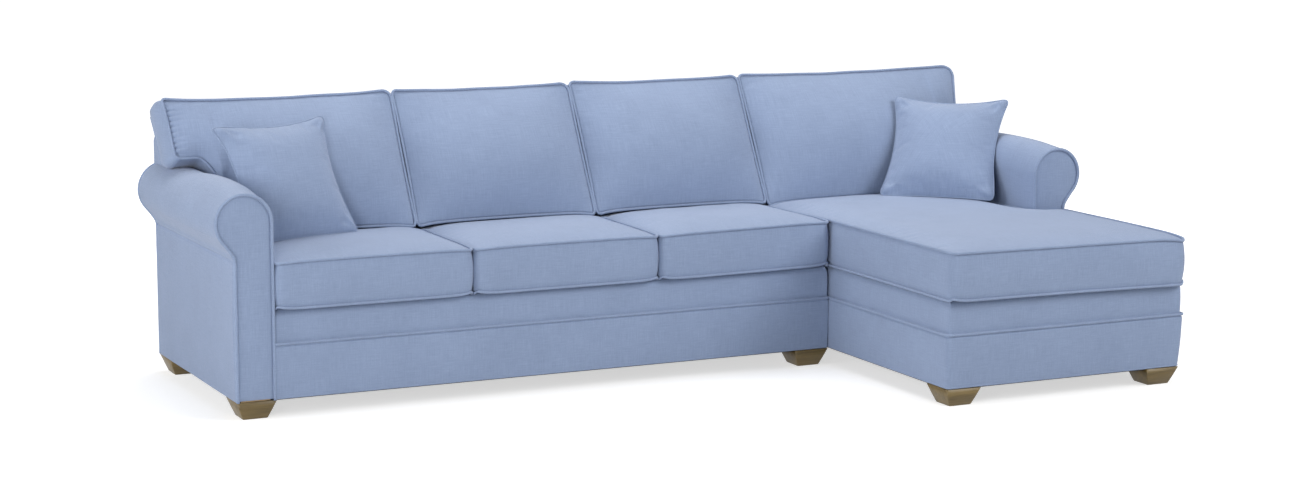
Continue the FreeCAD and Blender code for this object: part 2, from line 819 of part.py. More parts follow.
def sofa_section():
    """Every fixed piece of the sofa section, by name."""
    centres = sofa_feet_centres()
    rear_y = rear_rail_y
    rail_x1 = sofa_end_x - end_cloth_thickness
    front_y = lower_band_thickness
    side_y0 = front_y + rail_thickness
    block_front = side_y0 + corner_block_size - rail_thickness
    inner_x0 = arm_width + rail_thickness
    inner_x1 = rail_x1 - rail_thickness
    rails = [box(arm_width, inner_x0, side_y0, rear_y, rail_bottom, rail_top),
             box(inner_x1, rail_x1, side_y0, rear_y, rail_bottom, rail_top)]
    for index in range(1, seat_count):
        x = arm_width + index * seat_width - rail_thickness / 2
        rails.append(box(x, x + rail_thickness, side_y0, rear_y, rail_bottom, rail_top - cross_rail_drop))
    block_top = rail_bottom + corner_block_height
    blocks = [box(inner_x1 - corner_block_size, inner_x1, side_y0, block_front, rail_bottom, block_top),
              box(inner_x1 - corner_block_size, rail_x1 - rib_thickness, rear_y + rail_thickness,
                  cover_inner_y, rail_bottom, block_top)]
    springs = []
    count = seat_count * springs_per_seat
    step = seat_count * seat_width / count
    for index in range(count):
        x = arm_width + step * (index + 0.5)
        springs.append(sinuous_spring(x, side_y0 - spring_bearing, rear_y + spring_bearing))
    deck_y0 = upper_band_turn
    cloth = end_cloth_thickness
    room = bolt_room(centres)
    arm = arm_frame(0, 1, 0)
    dust = box(dust_cover_inset, sofa_end_x - dust_cover_inset, dust_cover_inset,
               base_depth - dust_cover_inset, rail_bottom - dust_cover_thickness, rail_bottom)
    return {
        "sofa_front_rail": box(arm_width, rail_x1, front_y, side_y0, rail_bottom, rail_top),
        "sofa_rear_rail": box(arm_width, rail_x1, rear_y, rear_y + rail_thickness, rail_bottom, rail_top),
        "sofa_side_rails": solids(rails),
        "sofa_corner_blocks": cut_all(solids(blocks), room),
        "sofa_seat_springs": solids(springs),
        "sofa_deck_pad": deck_pad([(arm_width, rail_x1, deck_y0)]),
        "sofa_back_frame": solids(back_frame(arm_width, rail_x1, seat_count + 1)),
        "sofa_inside_back": inside_back(arm_width, sofa_end_x, cover_cloth, arm_width),
        "sofa_back_cover": back_cover(0, sofa_end_x, True, False),
        "sofa_lower_band": solids([lower_strip(arm_width, sofa_end_x, 0, front_y),
                                   lower_strip(sofa_end_x - cloth, sofa_end_x, front_y, cover_inner_y)]),
        "sofa_upper_band": sofa_upper_band(),
        "left_arm_frame": cut_all(arm, room),
        "left_arm_padding": arm_padding(0, 1, 0),
        "left_arm_cover": arm_cover(0, 1, 0),
        "left_arm_facings": arm_facings(0, 1, 0),
        "sofa_dust_cover": cut_all(dust, feet_room(centres) + bracket_room()),
        "sofa_feet": solids([foot(x, y) for x, y in centres]),
        "sofa_foot_bolts": solids([foot_bolt(x, y) for x, y in centres]),
        "sofa_connectors": solids([sofa_bracket(y) for y in bracket_places]),
    }


def sofa_upper_band():
    """The upper band across the front, and a plain cloth on the end that meets the chaise section."""
    front = upper_strip(VEC(arm_width, 0, 0), VEC(0, -1, 0), sofa_end_x - arm_width)
    end = box(sofa_end_x - end_cloth_thickness, sofa_end_x, upper_band_turn, cover_inner_y,
              band_split, rail_top)
    return solids([front, end])


def deck_pad(parts):
    """The pad on the seat springs, from (x0, x1, front y) of each part to the inside back."""
    pad = None
    for x0, x1, y0 in parts:
        points = [(y0, padding_bottom), (back_plane_y(padding_bottom), padding_bottom),
                  (back_plane_y(deck_top), deck_top), (y0, deck_top)]
        piece = prism_x(points, x0, x1)
        pad = piece if pad is None else pad.fuse(piece)
    return pad.removeSplitter()


def chaise_section():
    """Every fixed piece of the chaise section, by name."""
    centres = chaise_feet_centres()
    band = lower_band_thickness
    rear_y = rear_rail_y
    x0 = chaise_start_x + band
    x1 = right_x - band
    front_y = chaise_front_y + band
    side_y0 = front_y + rail_thickness
    arm_x = right_arm_inner_x
    arm_y = right_arm_front_y
    inner_x0 = x0 + rail_thickness
    rails = [box(x0, inner_x0, side_y0, rear_y, rail_bottom, rail_top),
             box(x1 - rail_thickness, x1, side_y0, arm_y - rail_thickness, rail_bottom, rail_top),
             box(inner_x0, x1, arm_y - rail_thickness, arm_y, rail_bottom, rail_top),
             box(arm_x - rail_thickness, arm_x, arm_y, rear_y, rail_bottom, rail_top),
             box(inner_x0, arm_x - rail_thickness, cross_rail_reach, cross_rail_reach + rail_thickness,
                 rail_bottom, rail_top - cross_rail_drop)]
    block_top = rail_bottom + corner_block_height
    block_rear = side_y0 + corner_block_size
    blocks = [box(inner_x0, inner_x0 + corner_block_size, side_y0, block_rear, rail_bottom, block_top),
              box(x1 - rail_thickness - corner_block_size, x1 - rail_thickness, side_y0, block_rear,
                  rail_bottom, block_top),
              box(x0 + rib_thickness, inner_x0 + corner_block_size, rear_y + rail_thickness,
                  cover_inner_y, rail_bottom, block_top)]
    springs = []
    shared_bearing = rail_thickness / 2 - spring_wire
    step = (arm_x - x0) / chaise_spring_count
    for index in range(chaise_spring_count):
        x = x0 + step * (index + 0.5)
        springs.append(sinuous_spring(x, arm_y - shared_bearing, rear_y + spring_bearing))
        springs.append(sinuous_spring(x, side_y0 - spring_bearing, arm_y - rail_thickness + shared_bearing))
    room = bolt_room(centres)
    pegs = [peg_room(y) for y in bracket_places]
    dust = box(chaise_start_x + dust_cover_inset, right_x - dust_cover_inset,
               chaise_front_y + dust_cover_inset, base_depth - dust_cover_inset,
               rail_bottom - dust_cover_thickness, rail_bottom)
    return {
        "chaise_front_rail": box(x0, x1, front_y, side_y0, rail_bottom, rail_top),
        "chaise_rear_rail": box(x0, arm_x, rear_y, rear_y + rail_thickness, rail_bottom, rail_top),
        "chaise_side_rails": cut_all(solids(rails), pegs),
        "chaise_corner_blocks": cut_all(solids(blocks), room),
        "chaise_seat_springs": solids(springs),
        "chaise_deck_pad": deck_pad([(chaise_start_x + upper_band_turn, arm_x, arm_y)]).fuse(
            chaise_front_pad()).removeSplitter(),
        "chaise_back_frame": solids(back_frame(x0, arm_x, 2)),
        "chaise_inside_back": inside_back(chaise_start_x, arm_x, arm_x, right_x - cover_cloth),
        "chaise_back_cover": back_cover(chaise_start_x, right_x, False, True),
        "chaise_lower_band": chaise_lower_band(),
        "chaise_upper_band": chaise_upper_band(),
        "right_arm_frame": cut_all(arm_frame(right_x, -1, arm_y), room),
        "right_arm_padding": arm_padding(right_x, -1, arm_y),
        "right_arm_cover": arm_cover(right_x, -1, arm_y),
        "right_arm_facings": arm_facings(right_x, -1, arm_y),
        "chaise_dust_cover": cut_all(dust, feet_room(centres) + bracket_room()),
        "chaise_feet": solids([foot(x, y) for x, y in centres]),
        "chaise_foot_bolts": solids([foot_bolt(x, y) for x, y in centres]),
        "chaise_connectors": solids([chaise_bracket(y) for y in bracket_places]),
    }


def chaise_front_pad():
    """The part of the chaise's deck pad in front of the arm."""
    return box(chaise_start_x + upper_band_turn, right_x - upper_band_turn,
               chaise_front_y + upper_band_turn, right_arm_front_y, padding_bottom, deck_top)


def chaise_lower_band():
    """The lower band round the chaise: left side, front, and right side as far as the arm."""
    band = lower_band_thickness
    x0 = chaise_start_x
    front = lower_strip(x0, right_x, chaise_front_y, chaise_front_y + band)
    left = lower_strip(x0, x0 + band, chaise_front_y + band, cover_inner_y)
    right = lower_strip(right_x - band, right_x, chaise_front_y + band, right_arm_front_y)
    return solids([front, left, right])


def chaise_upper_band():
    """The upper band round the chaise, mitred at the two front corners."""
    x0 = chaise_start_x
    front = upper_strip(VEC(x0, chaise_front_y, 0), VEC(0, -1, 0), right_x - x0)
    seat_end = back_plane_y(rail_top) - soft_gap
    left = upper_strip(VEC(x0, seat_end, 0), VEC(-1, 0, 0), seat_end - chaise_front_y)
    left_rear = box(x0 + upper_band_recess, x0 + lower_band_thickness, seat_end, cover_inner_y,
                    band_split, rail_top)
    right = upper_strip(VEC(right_x, chaise_front_y, 0), VEC(1, 0, 0), right_arm_front_y - chaise_front_y)

    def corner(x, y, sign):
        """The wedge in front of the mitre line that leaves the corner at (x, y)."""
        size = upper_band_turn + margin
        tip = VEC(x - sign * margin, y - margin, 0)
        points = [tip, VEC(x + sign * size, y - margin, 0), VEC(x + sign * size, y + size, 0)]
        return Part.Face(Part.makePolygon(points + points[:1])).extrude(VEC(0, 0, base_top + margin))

    left_wedge = corner(x0, chaise_front_y, 1)
    right_wedge = corner(right_x, chaise_front_y, -1)
    middle = box(x0 + upper_band_turn, right_x - upper_band_turn, chaise_front_y - margin,
                 chaise_front_y + upper_band_turn + margin, 0, base_top + margin)
    front = front.common(middle.fuse(left_wedge).fuse(right_wedge))
    left = left.cut(left_wedge).fuse(left_rear).removeSplitter()
    right = right.cut(right_wedge)
    return solids([front, left, right])


def loose_pieces():
    """Covers and cores of every loose cushion, by name."""
    pieces = {}

    def add(name, core_name, pair):
        pieces[name + "_cover"] = pair[0]
        pieces[name + "_" + core_name] = pair[1]

    for index in range(seat_count):
        add("seat_cushion_%d" % (index + 1), "core", seat_cushion(index))
    add("chaise_cushion", "core", chaise_cushion())
    for index in range(seat_count):
        x0 = arm_width + index * seat_width + soft_gap
        x1 = arm_width + (index + 1) * seat_width - soft_gap
        ear = -1 if index == 0 else 0
        outer_x0 = -ear_overhang if index == 0 else x0
        add("back_cushion_%d" % (index + 1), "core",
            back_cushion(x0, x1, outer_x0, x1, seat_front_y, seat_rear_y, ear))
    add("back_cushion_%d" % (seat_count + 1), "core",
        back_cushion(chaise_start_x + soft_gap, right_x, chaise_start_x + soft_gap, right_x + ear_overhang,
                     chaise_cushion_front_y, seat_rear_y, 1))
    add("left_pillow", "insert",
        pillow(left_pillow_middle, left_pillow_turn_deg, left_pillow_lean_deg, 0, 1))
    add("right_pillow", "insert",
        pillow(right_pillow_middle, right_pillow_turn_deg, right_pillow_lean_deg, right_x, -1))
    return pieces


def main():
    """Build every piece, move it to the sofa's frame and write it."""
    os.makedirs("parts", exist_ok=True)
    pieces = {}
    pieces.update(sofa_section())
    pieces.update(chaise_section())
    pieces.update(loose_pieces())
    for name, shape in pieces.items():
        shape.translate(VEC(-middle_x, -middle_y, 0))
        shape.exportStep(os.path.join("parts", name + ".step"))
        bounds = shape.BoundBox
        print("%-24s %3d solids %10.1f cm3 valid %s  x %.0f..%.0f  y %.0f..%.0f  z %.0f..%.0f" % (
            name, len(shape.Solids), shape.Volume / 1000, shape.isValid(), bounds.XMin, bounds.XMax,
            bounds.YMin, bounds.YMax, bounds.ZMin, bounds.ZMax))
    print(len(pieces), "nodes")


main()
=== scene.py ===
"""The sectional sofa dressed for its studio picture. Metres, +Z up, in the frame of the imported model.

Each cushion, arm, band and back panel is a mesh of its own, made here from a few sizes and
from the boxes of the nodes that it stands for. Places are worked out from the front outer
corner of the left arm, on the floor.
"""
import json
import math

import bpy
import numpy as np
from mathutils import Matrix, Vector, noise

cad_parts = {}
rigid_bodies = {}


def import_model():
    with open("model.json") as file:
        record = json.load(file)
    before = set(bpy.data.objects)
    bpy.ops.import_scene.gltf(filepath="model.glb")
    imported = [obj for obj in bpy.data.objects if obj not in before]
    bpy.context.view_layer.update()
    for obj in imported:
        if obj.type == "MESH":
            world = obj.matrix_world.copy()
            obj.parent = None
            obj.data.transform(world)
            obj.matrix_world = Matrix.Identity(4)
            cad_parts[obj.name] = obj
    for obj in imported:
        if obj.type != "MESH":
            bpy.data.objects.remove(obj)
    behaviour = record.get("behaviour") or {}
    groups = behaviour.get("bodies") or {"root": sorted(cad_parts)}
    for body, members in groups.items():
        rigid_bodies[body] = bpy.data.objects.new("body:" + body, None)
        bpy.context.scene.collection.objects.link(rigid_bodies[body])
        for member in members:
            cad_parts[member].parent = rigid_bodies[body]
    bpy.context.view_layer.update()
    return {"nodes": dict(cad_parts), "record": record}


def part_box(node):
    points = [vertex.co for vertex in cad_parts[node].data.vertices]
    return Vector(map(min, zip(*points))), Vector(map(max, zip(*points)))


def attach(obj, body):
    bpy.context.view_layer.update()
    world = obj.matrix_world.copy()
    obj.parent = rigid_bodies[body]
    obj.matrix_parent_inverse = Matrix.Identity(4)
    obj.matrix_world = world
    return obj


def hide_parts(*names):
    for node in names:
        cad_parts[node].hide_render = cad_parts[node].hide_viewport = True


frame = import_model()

# Plan and heights
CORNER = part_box("sofa_feet")[0]
ARM_WIDTH = 0.124
SEAT_COUNT = 3
SEAT_WIDTH = 0.650
CHAISE_WIDTH = 0.890
CHAISE_REACH = 0.760
RIGHT_ARM_REACH = 0.080
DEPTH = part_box("sofa_feet")[1].y - CORNER.y
JOINT_X = ARM_WIDTH + SEAT_COUNT * SEAT_WIDTH
HALF_GAP = 0.0003
SOFA_END_X = JOINT_X - HALF_GAP
CHAISE_X = JOINT_X + HALF_GAP
RIGHT_X = JOINT_X + CHAISE_WIDTH
RIGHT_ARM_X = RIGHT_X - ARM_WIDTH
BASE_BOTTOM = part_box("sofa_lower_band")[0].z
BAND_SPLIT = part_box("sofa_lower_band")[1].z
BASE_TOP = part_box("sofa_upper_band")[1].z
DECK_BOTTOM, DECK_TOP = (corner.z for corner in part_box("sofa_deck_pad"))
BACK_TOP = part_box("sofa_back_cover")[1].z
CLOTH = 0.003

# Bands of the base
UPPER_BAND_RECESS = 0.009
UPPER_BAND_RADIUS = 0.026
UPPER_BAND_TURN = 0.060
HEM_RADIUS = 0.0030
BAND_CORNER_RADIUS = 0.016

# Arms
ROLL_RADIUS = 0.091
ROLL_CENTRE_X = ARM_WIDTH - ROLL_RADIUS
ROLL_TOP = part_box("left_arm_cover")[1].z
ROLL_CENTRE_Z = ROLL_TOP - ROLL_RADIUS
ROLL_SWEEP = math.radians(220)
FACING_CROWN = 0.006
SIDE_SEAM_Z = 0.497
ARM_WELT = 0.0054
ARM_PUFF = 0.016
FACING_INSET = 0.0048
ARM_BOW = 0.013
ARM_BOW_END = 0.58
ARM_FULLNESS = 0.006

# Back
LEAN = math.radians(26.5)
BACK_SLAB = 0.022 / math.cos(LEAN)
BACK_EDGE_RADIUS = 0.022
BACK_WELT = 0.0034
UP_BACK = Vector((0, math.sin(LEAN), math.cos(LEAN)))
FORWARD = Vector((0, -math.cos(LEAN), math.sin(LEAN)))

# Seat cushions
SEAT_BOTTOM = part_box("seat_cushion_1_cover")[0].z
SEAT_WELT_TOP = SEAT_BOTTOM + 0.143
SEAT_CROWN = 0.023
SEAT_SHOULDER = 0.046
SEAT_FALLS = {False: (0.40, 0.20), True: (0.55, 0.34)}
SEAT_CORNER, CHAISE_CORNER, SEAT_REAR_CORNER = 0.026, 0.038, 0.014
SEAT_DRAW = 0.0025
SEAT_CLOUD = 0.0026
SEAT_PUCKERS = (0.0016, 0.016)
SEAT_SHIFTS = (0.0, 0.009, 0.012, 0.0)
JOINT_LIFT = 0.007
SEAT_FRONT = -0.008
SEAT_REAR = 0.560
CHAISE_CUSHION_FRONT = -0.772
SIDE_CLEARANCE = 0.0046

# Back cushions
BACK_CUSHION_TOP = 0.925
BACK_CUSHION_THICKNESS = 0.150
BACK_CUSHION_BELLY = 0.085
FOOT_FULLNESS = 0.40
BACK_CUSHION_SAG = 0.008
BACK_SHOULDER = 0.095
BACK_DRAW = 0.0035
BACK_CLOUD = 0.0045
BACK_PUCKERS = (0.0030, 0.024)
GATHER_SPACING = 0.0180
FOOT_FORWARD = 0.018
BACK_SHIFTS = (0.0, -0.012, -0.010, 0.0, 0.0)
BACK_CORNERS = {1: (0.010, 0.030), 2: (0.016, 0.034), 3: (0.018, 0.030), 4: (0.018, 0.054)}
EAR_OVERHANG = 0.008
EAR_FRONT_Z = 0.745

# Seams, welts and puckers
WELT_RADIUS = 0.0046
GRID_STEP = 0.0095
EAR_STEP = 0.0038
FINE_ROWS = (0.0035, 0.008)
COARSE_STEP = 0.03
BOXING_ROWS = (0, 0.025, 0.06, 0.12, 0.20, 0.30, 0.40, 0.50, 0.60, 0.70, 0.80, 0.88, 0.94, 0.975, 1)
SEAM_GROOVE = 0.0028
TINY = 1e-5
ON_EDGE = 1e-6
LONG_SIDE = 0.3
SWELL_ROUNDS = 350
STAR_RINGS = 12
QUARTER_TURN = [math.pi / 2 * k / 8 for k in range(9)]

# Blowing up of the cushions
CLOTH_FRAMES = 20
CUSHION_PRESSURE = 4.0
SEAT_REACH = 0.004
BACK_REACH = 0.009
PILLOW_REACH = 0.008
SEAT_SWELLING = 0.0035

# Throw pillows
PILLOW_SIDE = 0.412
PILLOW_THICKNESS = 0.140
PILLOW_DRAW = 0.030
PILLOW_SHOULDER = 0.070
PILLOW_CORNER = 0.032
PILLOW_STEP = 0.008
PILLOW_CLOUD = 0.0040
PILLOW_PUCKERS = (0.0026, 0.026)
PILLOW_EDGE = 0.0026
LEFT_PILLOW = dict(x=ARM_WIDTH + 0.173, y=SEAT_REAR - 0.175, z=SEAT_WELT_TOP + 0.203, turn=15.0, lean=28.2)
RIGHT_PILLOW = dict(x=RIGHT_ARM_X - 0.126, y=SEAT_REAR - 0.251, z=SEAT_WELT_TOP + 0.191, turn=-42.4, lean=37.2)

# Feet
FOOT_TOP = 0.127
FOOT_BOTTOM = 0.082
FOOT_EDGE = 0.004

# Camera and cloth
CAMERA_PLACE = Vector((-3.8451, -7.8713, 1.8309))
CAMERA_YAW = math.radians(25.6986)
CAMERA_PITCH = math.radians(9.10)
CAMERA_ROLL = math.radians(0.1109)
CAMERA_LENS = 74.61
WHITE = (1, 1, 1, 1)
THREADS_PER_METRE = 820.0
CLOTH_STOPS = [(0.18, (0.207, 0.263, 0.390)), (0.5, (0.241, 0.306, 0.450)), (0.82, (0.281, 0.353, 0.510))]


def place(x, y, z):
    """A point given from the front outer corner of the left arm, in the row frame."""
    return Vector((CORNER.x + x, CORNER.y + y, z))


def limited(value):
    return min(1.0, max(0.0, value))


def eased(share):
    """A share from 0 to 1 that leaves both ends gently."""
    share = limited(share)
    return share * share * (3 - 2 * share)


def wave(x, y=0.0, z=0.0):
    """Smooth seeded noise from -1 to 1."""
    return noise.noise(Vector((x + 17.3, y + 5.1, z + 9.7)))


def linked(name, data):
    """A new object in the scene."""
    new = bpy.data.objects.new(name, data)
    bpy.context.scene.collection.objects.link(new)
    return new


# Camera, lamps and floor

def make_camera():
    """The camera at the photograph's viewing angle."""
    ahead = Vector((math.sin(CAMERA_YAW) * math.cos(CAMERA_PITCH),
                    math.cos(CAMERA_YAW) * math.cos(CAMERA_PITCH), -math.sin(CAMERA_PITCH)))
    level_right = Vector((math.cos(CAMERA_YAW), -math.sin(CAMERA_YAW), 0))
    level_up = level_right.cross(ahead)
    right = level_right * math.cos(CAMERA_ROLL) + level_up * math.sin(CAMERA_ROLL)
    up = level_up * math.cos(CAMERA_ROLL) - level_right * math.sin(CAMERA_ROLL)
    data = bpy.data.cameras.new("camera")
    data.lens = CAMERA_LENS
    camera = linked("camera", data)
    camera.matrix_world = Matrix.Translation(CAMERA_PLACE) @ Matrix((right, up, -ahead)).transposed().to_4x4()
    bpy.context.scene.camera = camera


def make_area_lamp(name, location, target, size, power):
    """A square soft lamp that faces a point."""
    data = bpy.data.lights.new(name, "AREA")
    data.shape = "SQUARE"
    data.size = size
    data.energy = power
    lamp = linked(name, data)
    lamp.location = location
    lamp.rotation_mode = "QUATERNION"
    lamp.rotation_quaternion = (Vector(target) - Vector(location)).to_track_quat("-Z", "Y")


def add_node(tree, kind, inputs, **settings):
    """A shader node with settings, and with inputs that are linked or set."""
    node = tree.nodes.new("ShaderNode" + kind)
    for name, value in settings.items():
        setattr(node, name, value)
    for name, value in inputs.items():
        if isinstance(value, bpy.types.NodeSocket):
            tree.links.new(value, node.inputs[name])
        else:
            node.inputs[name].default_value = value
    return node


def math_node(tree, operation, *values):
    """The result of a Math node on sockets or numbers."""
    return add_node(tree, "Math", dict(enumerate(values)), operation=operation).outputs[0]


def seen_factor(tree):
    """A value that is 1 for the camera, and for what shows in metal and glass."""
    path = tree.nodes.new("ShaderNodeLightPath").outputs
    shown = math_node(tree, "MAXIMUM", path["Is Camera Ray"], path["Is Glossy Ray"])
    return math_node(tree, "MAXIMUM", shown, path["Is Transmission Ray"])


def make_world():
    """Soft light from all round, and white behind the sofa."""
    world = bpy.data.worlds.new("studio")
    world.use_nodes = True
    tree = world.node_tree
    tree.nodes.clear()
    ambient = add_node(tree, "Background", {"Color": (0.96, 0.98, 1.0, 1), "Strength": 0.15})
    seen = add_node(tree, "Background", {"Color": WHITE, "Strength": 1.0})
    mix = add_node(tree, "MixShader", {0: seen_factor(tree), 1: ambient.outputs[0], 2: seen.outputs[0]})
    add_node(tree, "OutputWorld", {0: mix.outputs[0]})
    bpy.context.scene.world = world


def make_floor():
    """A pale floor that keeps the sofa's shadow, with a painted glow for the camera that is weaker near the sofa and
    runs into the white behind it.
    """
    half = 40.0
    mesh = bpy.data.meshes.new("floor")
    mesh.from_pydata([(-half, -half, 0), (half, -half, 0), (half, half, 0), (-half, half, 0)], [], [(0, 1, 2, 3)])
    material = bpy.data.materials.new("floor")
    material.use_nodes = True
    tree = material.node_tree
    tree.nodes.clear()
    diffuse = add_node(tree, "BsdfDiffuse", {"Color": (0.62, 0.62, 0.62, 1)})
    spot = tree.nodes.new("ShaderNodeTexCoord").outputs["Object"]
    away = add_node(tree, "VectorMath", {0: spot}, operation="LENGTH").outputs["Value"]
    # Painted glow seen by the camera: strength 0.6 near the sofa, so that its shadow shows, rising to full white from
    # 4.5 m out.
    level = add_node(tree, "MapRange", {"Value": away, "From Min": 1.8, "From Max": 4.5, "To Min": 0.60,
                                        "To Max": 1.0}, interpolation_type="SMOOTHSTEP").outputs["Result"]
    strength = math_node(tree, "MULTIPLY", seen_factor(tree), level)
    painted_glow = add_node(tree, "Emission", {"Color": WHITE, "Strength": strength})
    both = add_node(tree, "AddShader", {0: diffuse.outputs[0], 1: painted_glow.outputs[0]})
    add_node(tree, "OutputMaterial", {0: both.outputs[0]})
    mesh.materials.append(material)
    linked("floor", mesh)


# Materials

def stretched_noise(tree, vector, scale, detail, roughness):
    """A Noise texture's value, with a scale for each of the vector's axes."""
    spot = add_node(tree, "Mapping", {"Vector": vector, "Scale": scale}).outputs["Vector"]
    return add_node(tree, "TexNoise", {"Vector": spot, "Scale": 1.0, "Detail": detail,
                                       "Roughness": roughness}).outputs["Fac"]


def weighted_sum(tree, *terms):
    """The sum of (value, weight) terms."""
    total = math_node(tree, "MULTIPLY", *terms[0])
    for value, weight in terms[1:]:
        total = math_node(tree, "MULTIPLY_ADD", value, weight, total)
    return total


def finish_shader(material, tone, stops, height, strength, distance, **inputs):
    """Colour from a tone through (place, colour) stops, bump from a height, and the shader's other inputs."""
    tree = material.node_tree
    ramp = add_node(tree, "ValToRGB", {"Fac": tone})
    elements = ramp.color_ramp.elements
    while len(elements) < len(stops):
        elements.new(0.5)
    for element, (where, colour) in zip(elements, stops):
        element.position = where
        element.color = (*colour, 1)
    bump = add_node(tree, "Bump", {"Height": height, "Strength": strength, "Distance": distance})
    shader = tree.nodes["Principled BSDF"]
    tree.links.new(ramp.outputs["Color"], shader.inputs["Base Color"])
    tree.links.new(bump.outputs["Normal"], shader.inputs["Normal"])
    for name, value in inputs.items():
        shader.inputs[name.replace("_", " ")].default_value = value
    return material


def new_material(name):
    """A material with one Principled shader, its tree and its texture coordinates."""
    material = bpy.data.materials.new(name)
    material.use_nodes = True
    tree = material.node_tree
    return material, tree, tree.nodes.new("ShaderNodeTexCoord").outputs


def cloth_plane(tree, coordinates):
    """Two coordinates in the plane that the surface faces most, from the object's own space."""
    spot = add_node(tree, "SeparateXYZ", {0: coordinates["Object"]}).outputs
    facing = add_node(tree, "SeparateXYZ", {0: coordinates["Normal"]}).outputs
    size = [math_node(tree, "ABSOLUTE", facing[axis]) for axis in range(3)]
    faces_up = math_node(tree, "GREATER_THAN", size[2], math_node(tree, "MAXIMUM", size[0], size[1]))
    faces_side = math_node(tree, "GREATER_THAN", size[0], size[1])

    def choose(factor, no, yes):
        return add_node(tree, "Mix", {0: factor, 2: no, 3: yes}).outputs[0]

    across = choose(faces_up, choose(faces_side, spot[0], spot[1]), spot[0])
    return across, choose(faces_up, spot[2], spot[1])


def make_cloth():
    """Plain-woven upholstery cloth: threads over and under, slubs both ways and a soft cloudiness."""
    material, tree, coordinates = new_material("periwinkle_cloth")
    across, along = cloth_plane(tree, coordinates)
    plane = add_node(tree, "CombineXYZ", {0: across, 1: along}).outputs[0]
    warp, weft = (math_node(tree, "SINE", math_node(tree, "MULTIPLY", way, math.pi * THREADS_PER_METRE))
                  for way in (across, along))
    weave = math_node(tree, "MULTIPLY_ADD", math_node(tree, "MULTIPLY", warp, weft), 0.5, 0.5)
    slubs = math_node(tree, "ADD", stretched_noise(tree, plane, (420, 16, 1), 2.0, 0.6),
                      stretched_noise(tree, plane, (16, 420, 1), 2.0, 0.6))
    cloud = stretched_noise(tree, coordinates["Object"], (7.0, 7.0, 7.0), 3.0, 0.55)
    fleck = stretched_noise(tree, coordinates["Object"], (190.0, 190.0, 190.0), 2.0, 0.6)
    tone = weighted_sum(tree, (slubs, 0.62), (cloud, 0.34), (weave, 0.12), (fleck, 0.30))
    return finish_shader(material, math_node(tree, "SUBTRACT", tone, 0.50), CLOTH_STOPS,
                         weighted_sum(tree, (slubs, 0.9), (weave, 1.0)), 0.32, 0.0006, Roughness=0.86,
                         Specular_IOR_Level=0.22, Sheen_Weight=0.24, Sheen_Roughness=0.50,
                         Sheen_Tint=(0.94, 0.95, 1.0, 1))


def make_stuff(name, dark, light, roughness, layers, spread, strength, distance, metallic=0.0):
    """Wood, metal or fibre: layers of noise (scale, detail, roughness, weight) that mix two colours and bump."""
    material, tree, coordinates = new_material(name)
    values = [(stretched_noise(tree, coordinates["Object"], *layer[:3]), layer[3]) for layer in layers]
    tone = weighted_sum(tree, *values)
    return finish_shader(material, tone, [(0.5 - spread, dark), (0.5 + spread, light)], tone, strength, distance,
                         Roughness=roughness, Metallic=metallic)


def make_wood(name, dark, light, roughness):
    """Wood with its grain along the length of the sofa, and pores."""
    layers = [((2.6, 34.0, 34.0), 6.0, 0.62, 0.75), ((22.0, 420.0, 420.0), 2.0, 0.5, 0.25)]
    return make_stuff(name, dark, light, roughness, layers, 0.16, 0.18, 0.0008)


def make_metal(name, colour, roughness):
    """Plated or drawn steel with fine streaks."""
    darker = tuple(c * 0.78 for c in colour)
    return make_stuff(name, darker, colour, roughness, [((30, 30, 900), 3.0, 0.5, 1.0)], 0.2, 0.08, 0.0003, 1.0)


def make_fibre(name, dark, light, scale, roughness, distance):
    """A matt fibrous or cellular stuff, such as foam, padding or lining."""
    layers = [((scale, scale, scale), 4.0, 0.6, 1.0)]
    return make_stuff(name, dark, light, roughness, layers, 0.15, 0.35, distance)


# Mesh making

def new_piece(name, points, faces, body, material=None):
    """A smooth mesh piece from points in the row frame."""
    mesh = bpy.data.meshes.new(name)
    mesh.from_pydata([tuple(p) for p in points], [], faces)
    mesh.validate()
    mesh.update()
    mesh.shade_smooth()
    mesh.materials.append(material or CLOTH_MATERIAL)
    piece = linked(name, mesh)
    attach(piece, body)
    return piece


def read_points(mesh):
    points = np.empty(len(mesh.vertices) * 3)
    mesh.vertices.foreach_get("co", points)
    return points.reshape(-1, 3)


def write_points(mesh, points):
    mesh.vertices.foreach_set("co", points.ravel())
    mesh.update()


def strip_faces(rows, count, ring=False, loop=False, flip=False):
    """Quads over rows of count points. A ring joins the ends of a row, and a loop the last row to the first."""
    faces = []
    for row in range(rows if loop else rows - 1):
        here, ahead = row * count, (row + 1) % rows * count
        for k in range(count if ring else count - 1):
            n = (k + 1) % count
            corners = (here + k, here + n, ahead + n, ahead + k)
            faces.append((corners[0], *corners[:0:-1]) if flip else corners)
    return faces


def reverse(faces):
    return [tuple(reversed(face)) for face in faces]


def two_faces(panel):
    """The quads of a panel, and those of its other side, whose points follow the panel's own."""
    count = len(panel["points"])
    return panel["quads"] + [tuple(count + k for k in reversed(quad)) for quad in panel["quads"]]


def grid_lines(breaks, step):
    """Grid lines through the breaks: close together beside each break, and no wider than step between."""
    values = []
    for start, end in zip(breaks, breaks[1:]):
        inner = [start + row for row in FINE_ROWS] + [end - row for row in reversed(FINE_ROWS)]
        if end - start < 4 * FINE_ROWS[-1]:
            inner = [(start + end) / 2]
        values.append(start)
        for left, right in zip(inner, inner[1:]):
            count = max(1, math.ceil((right - left) / step))
            values += [left + (right - left) * k / count for k in range(count)]
        values.append(inner[-1])
    return np.array(sorted({round(v, 7) for v in [*values, breaks[-1]]}))


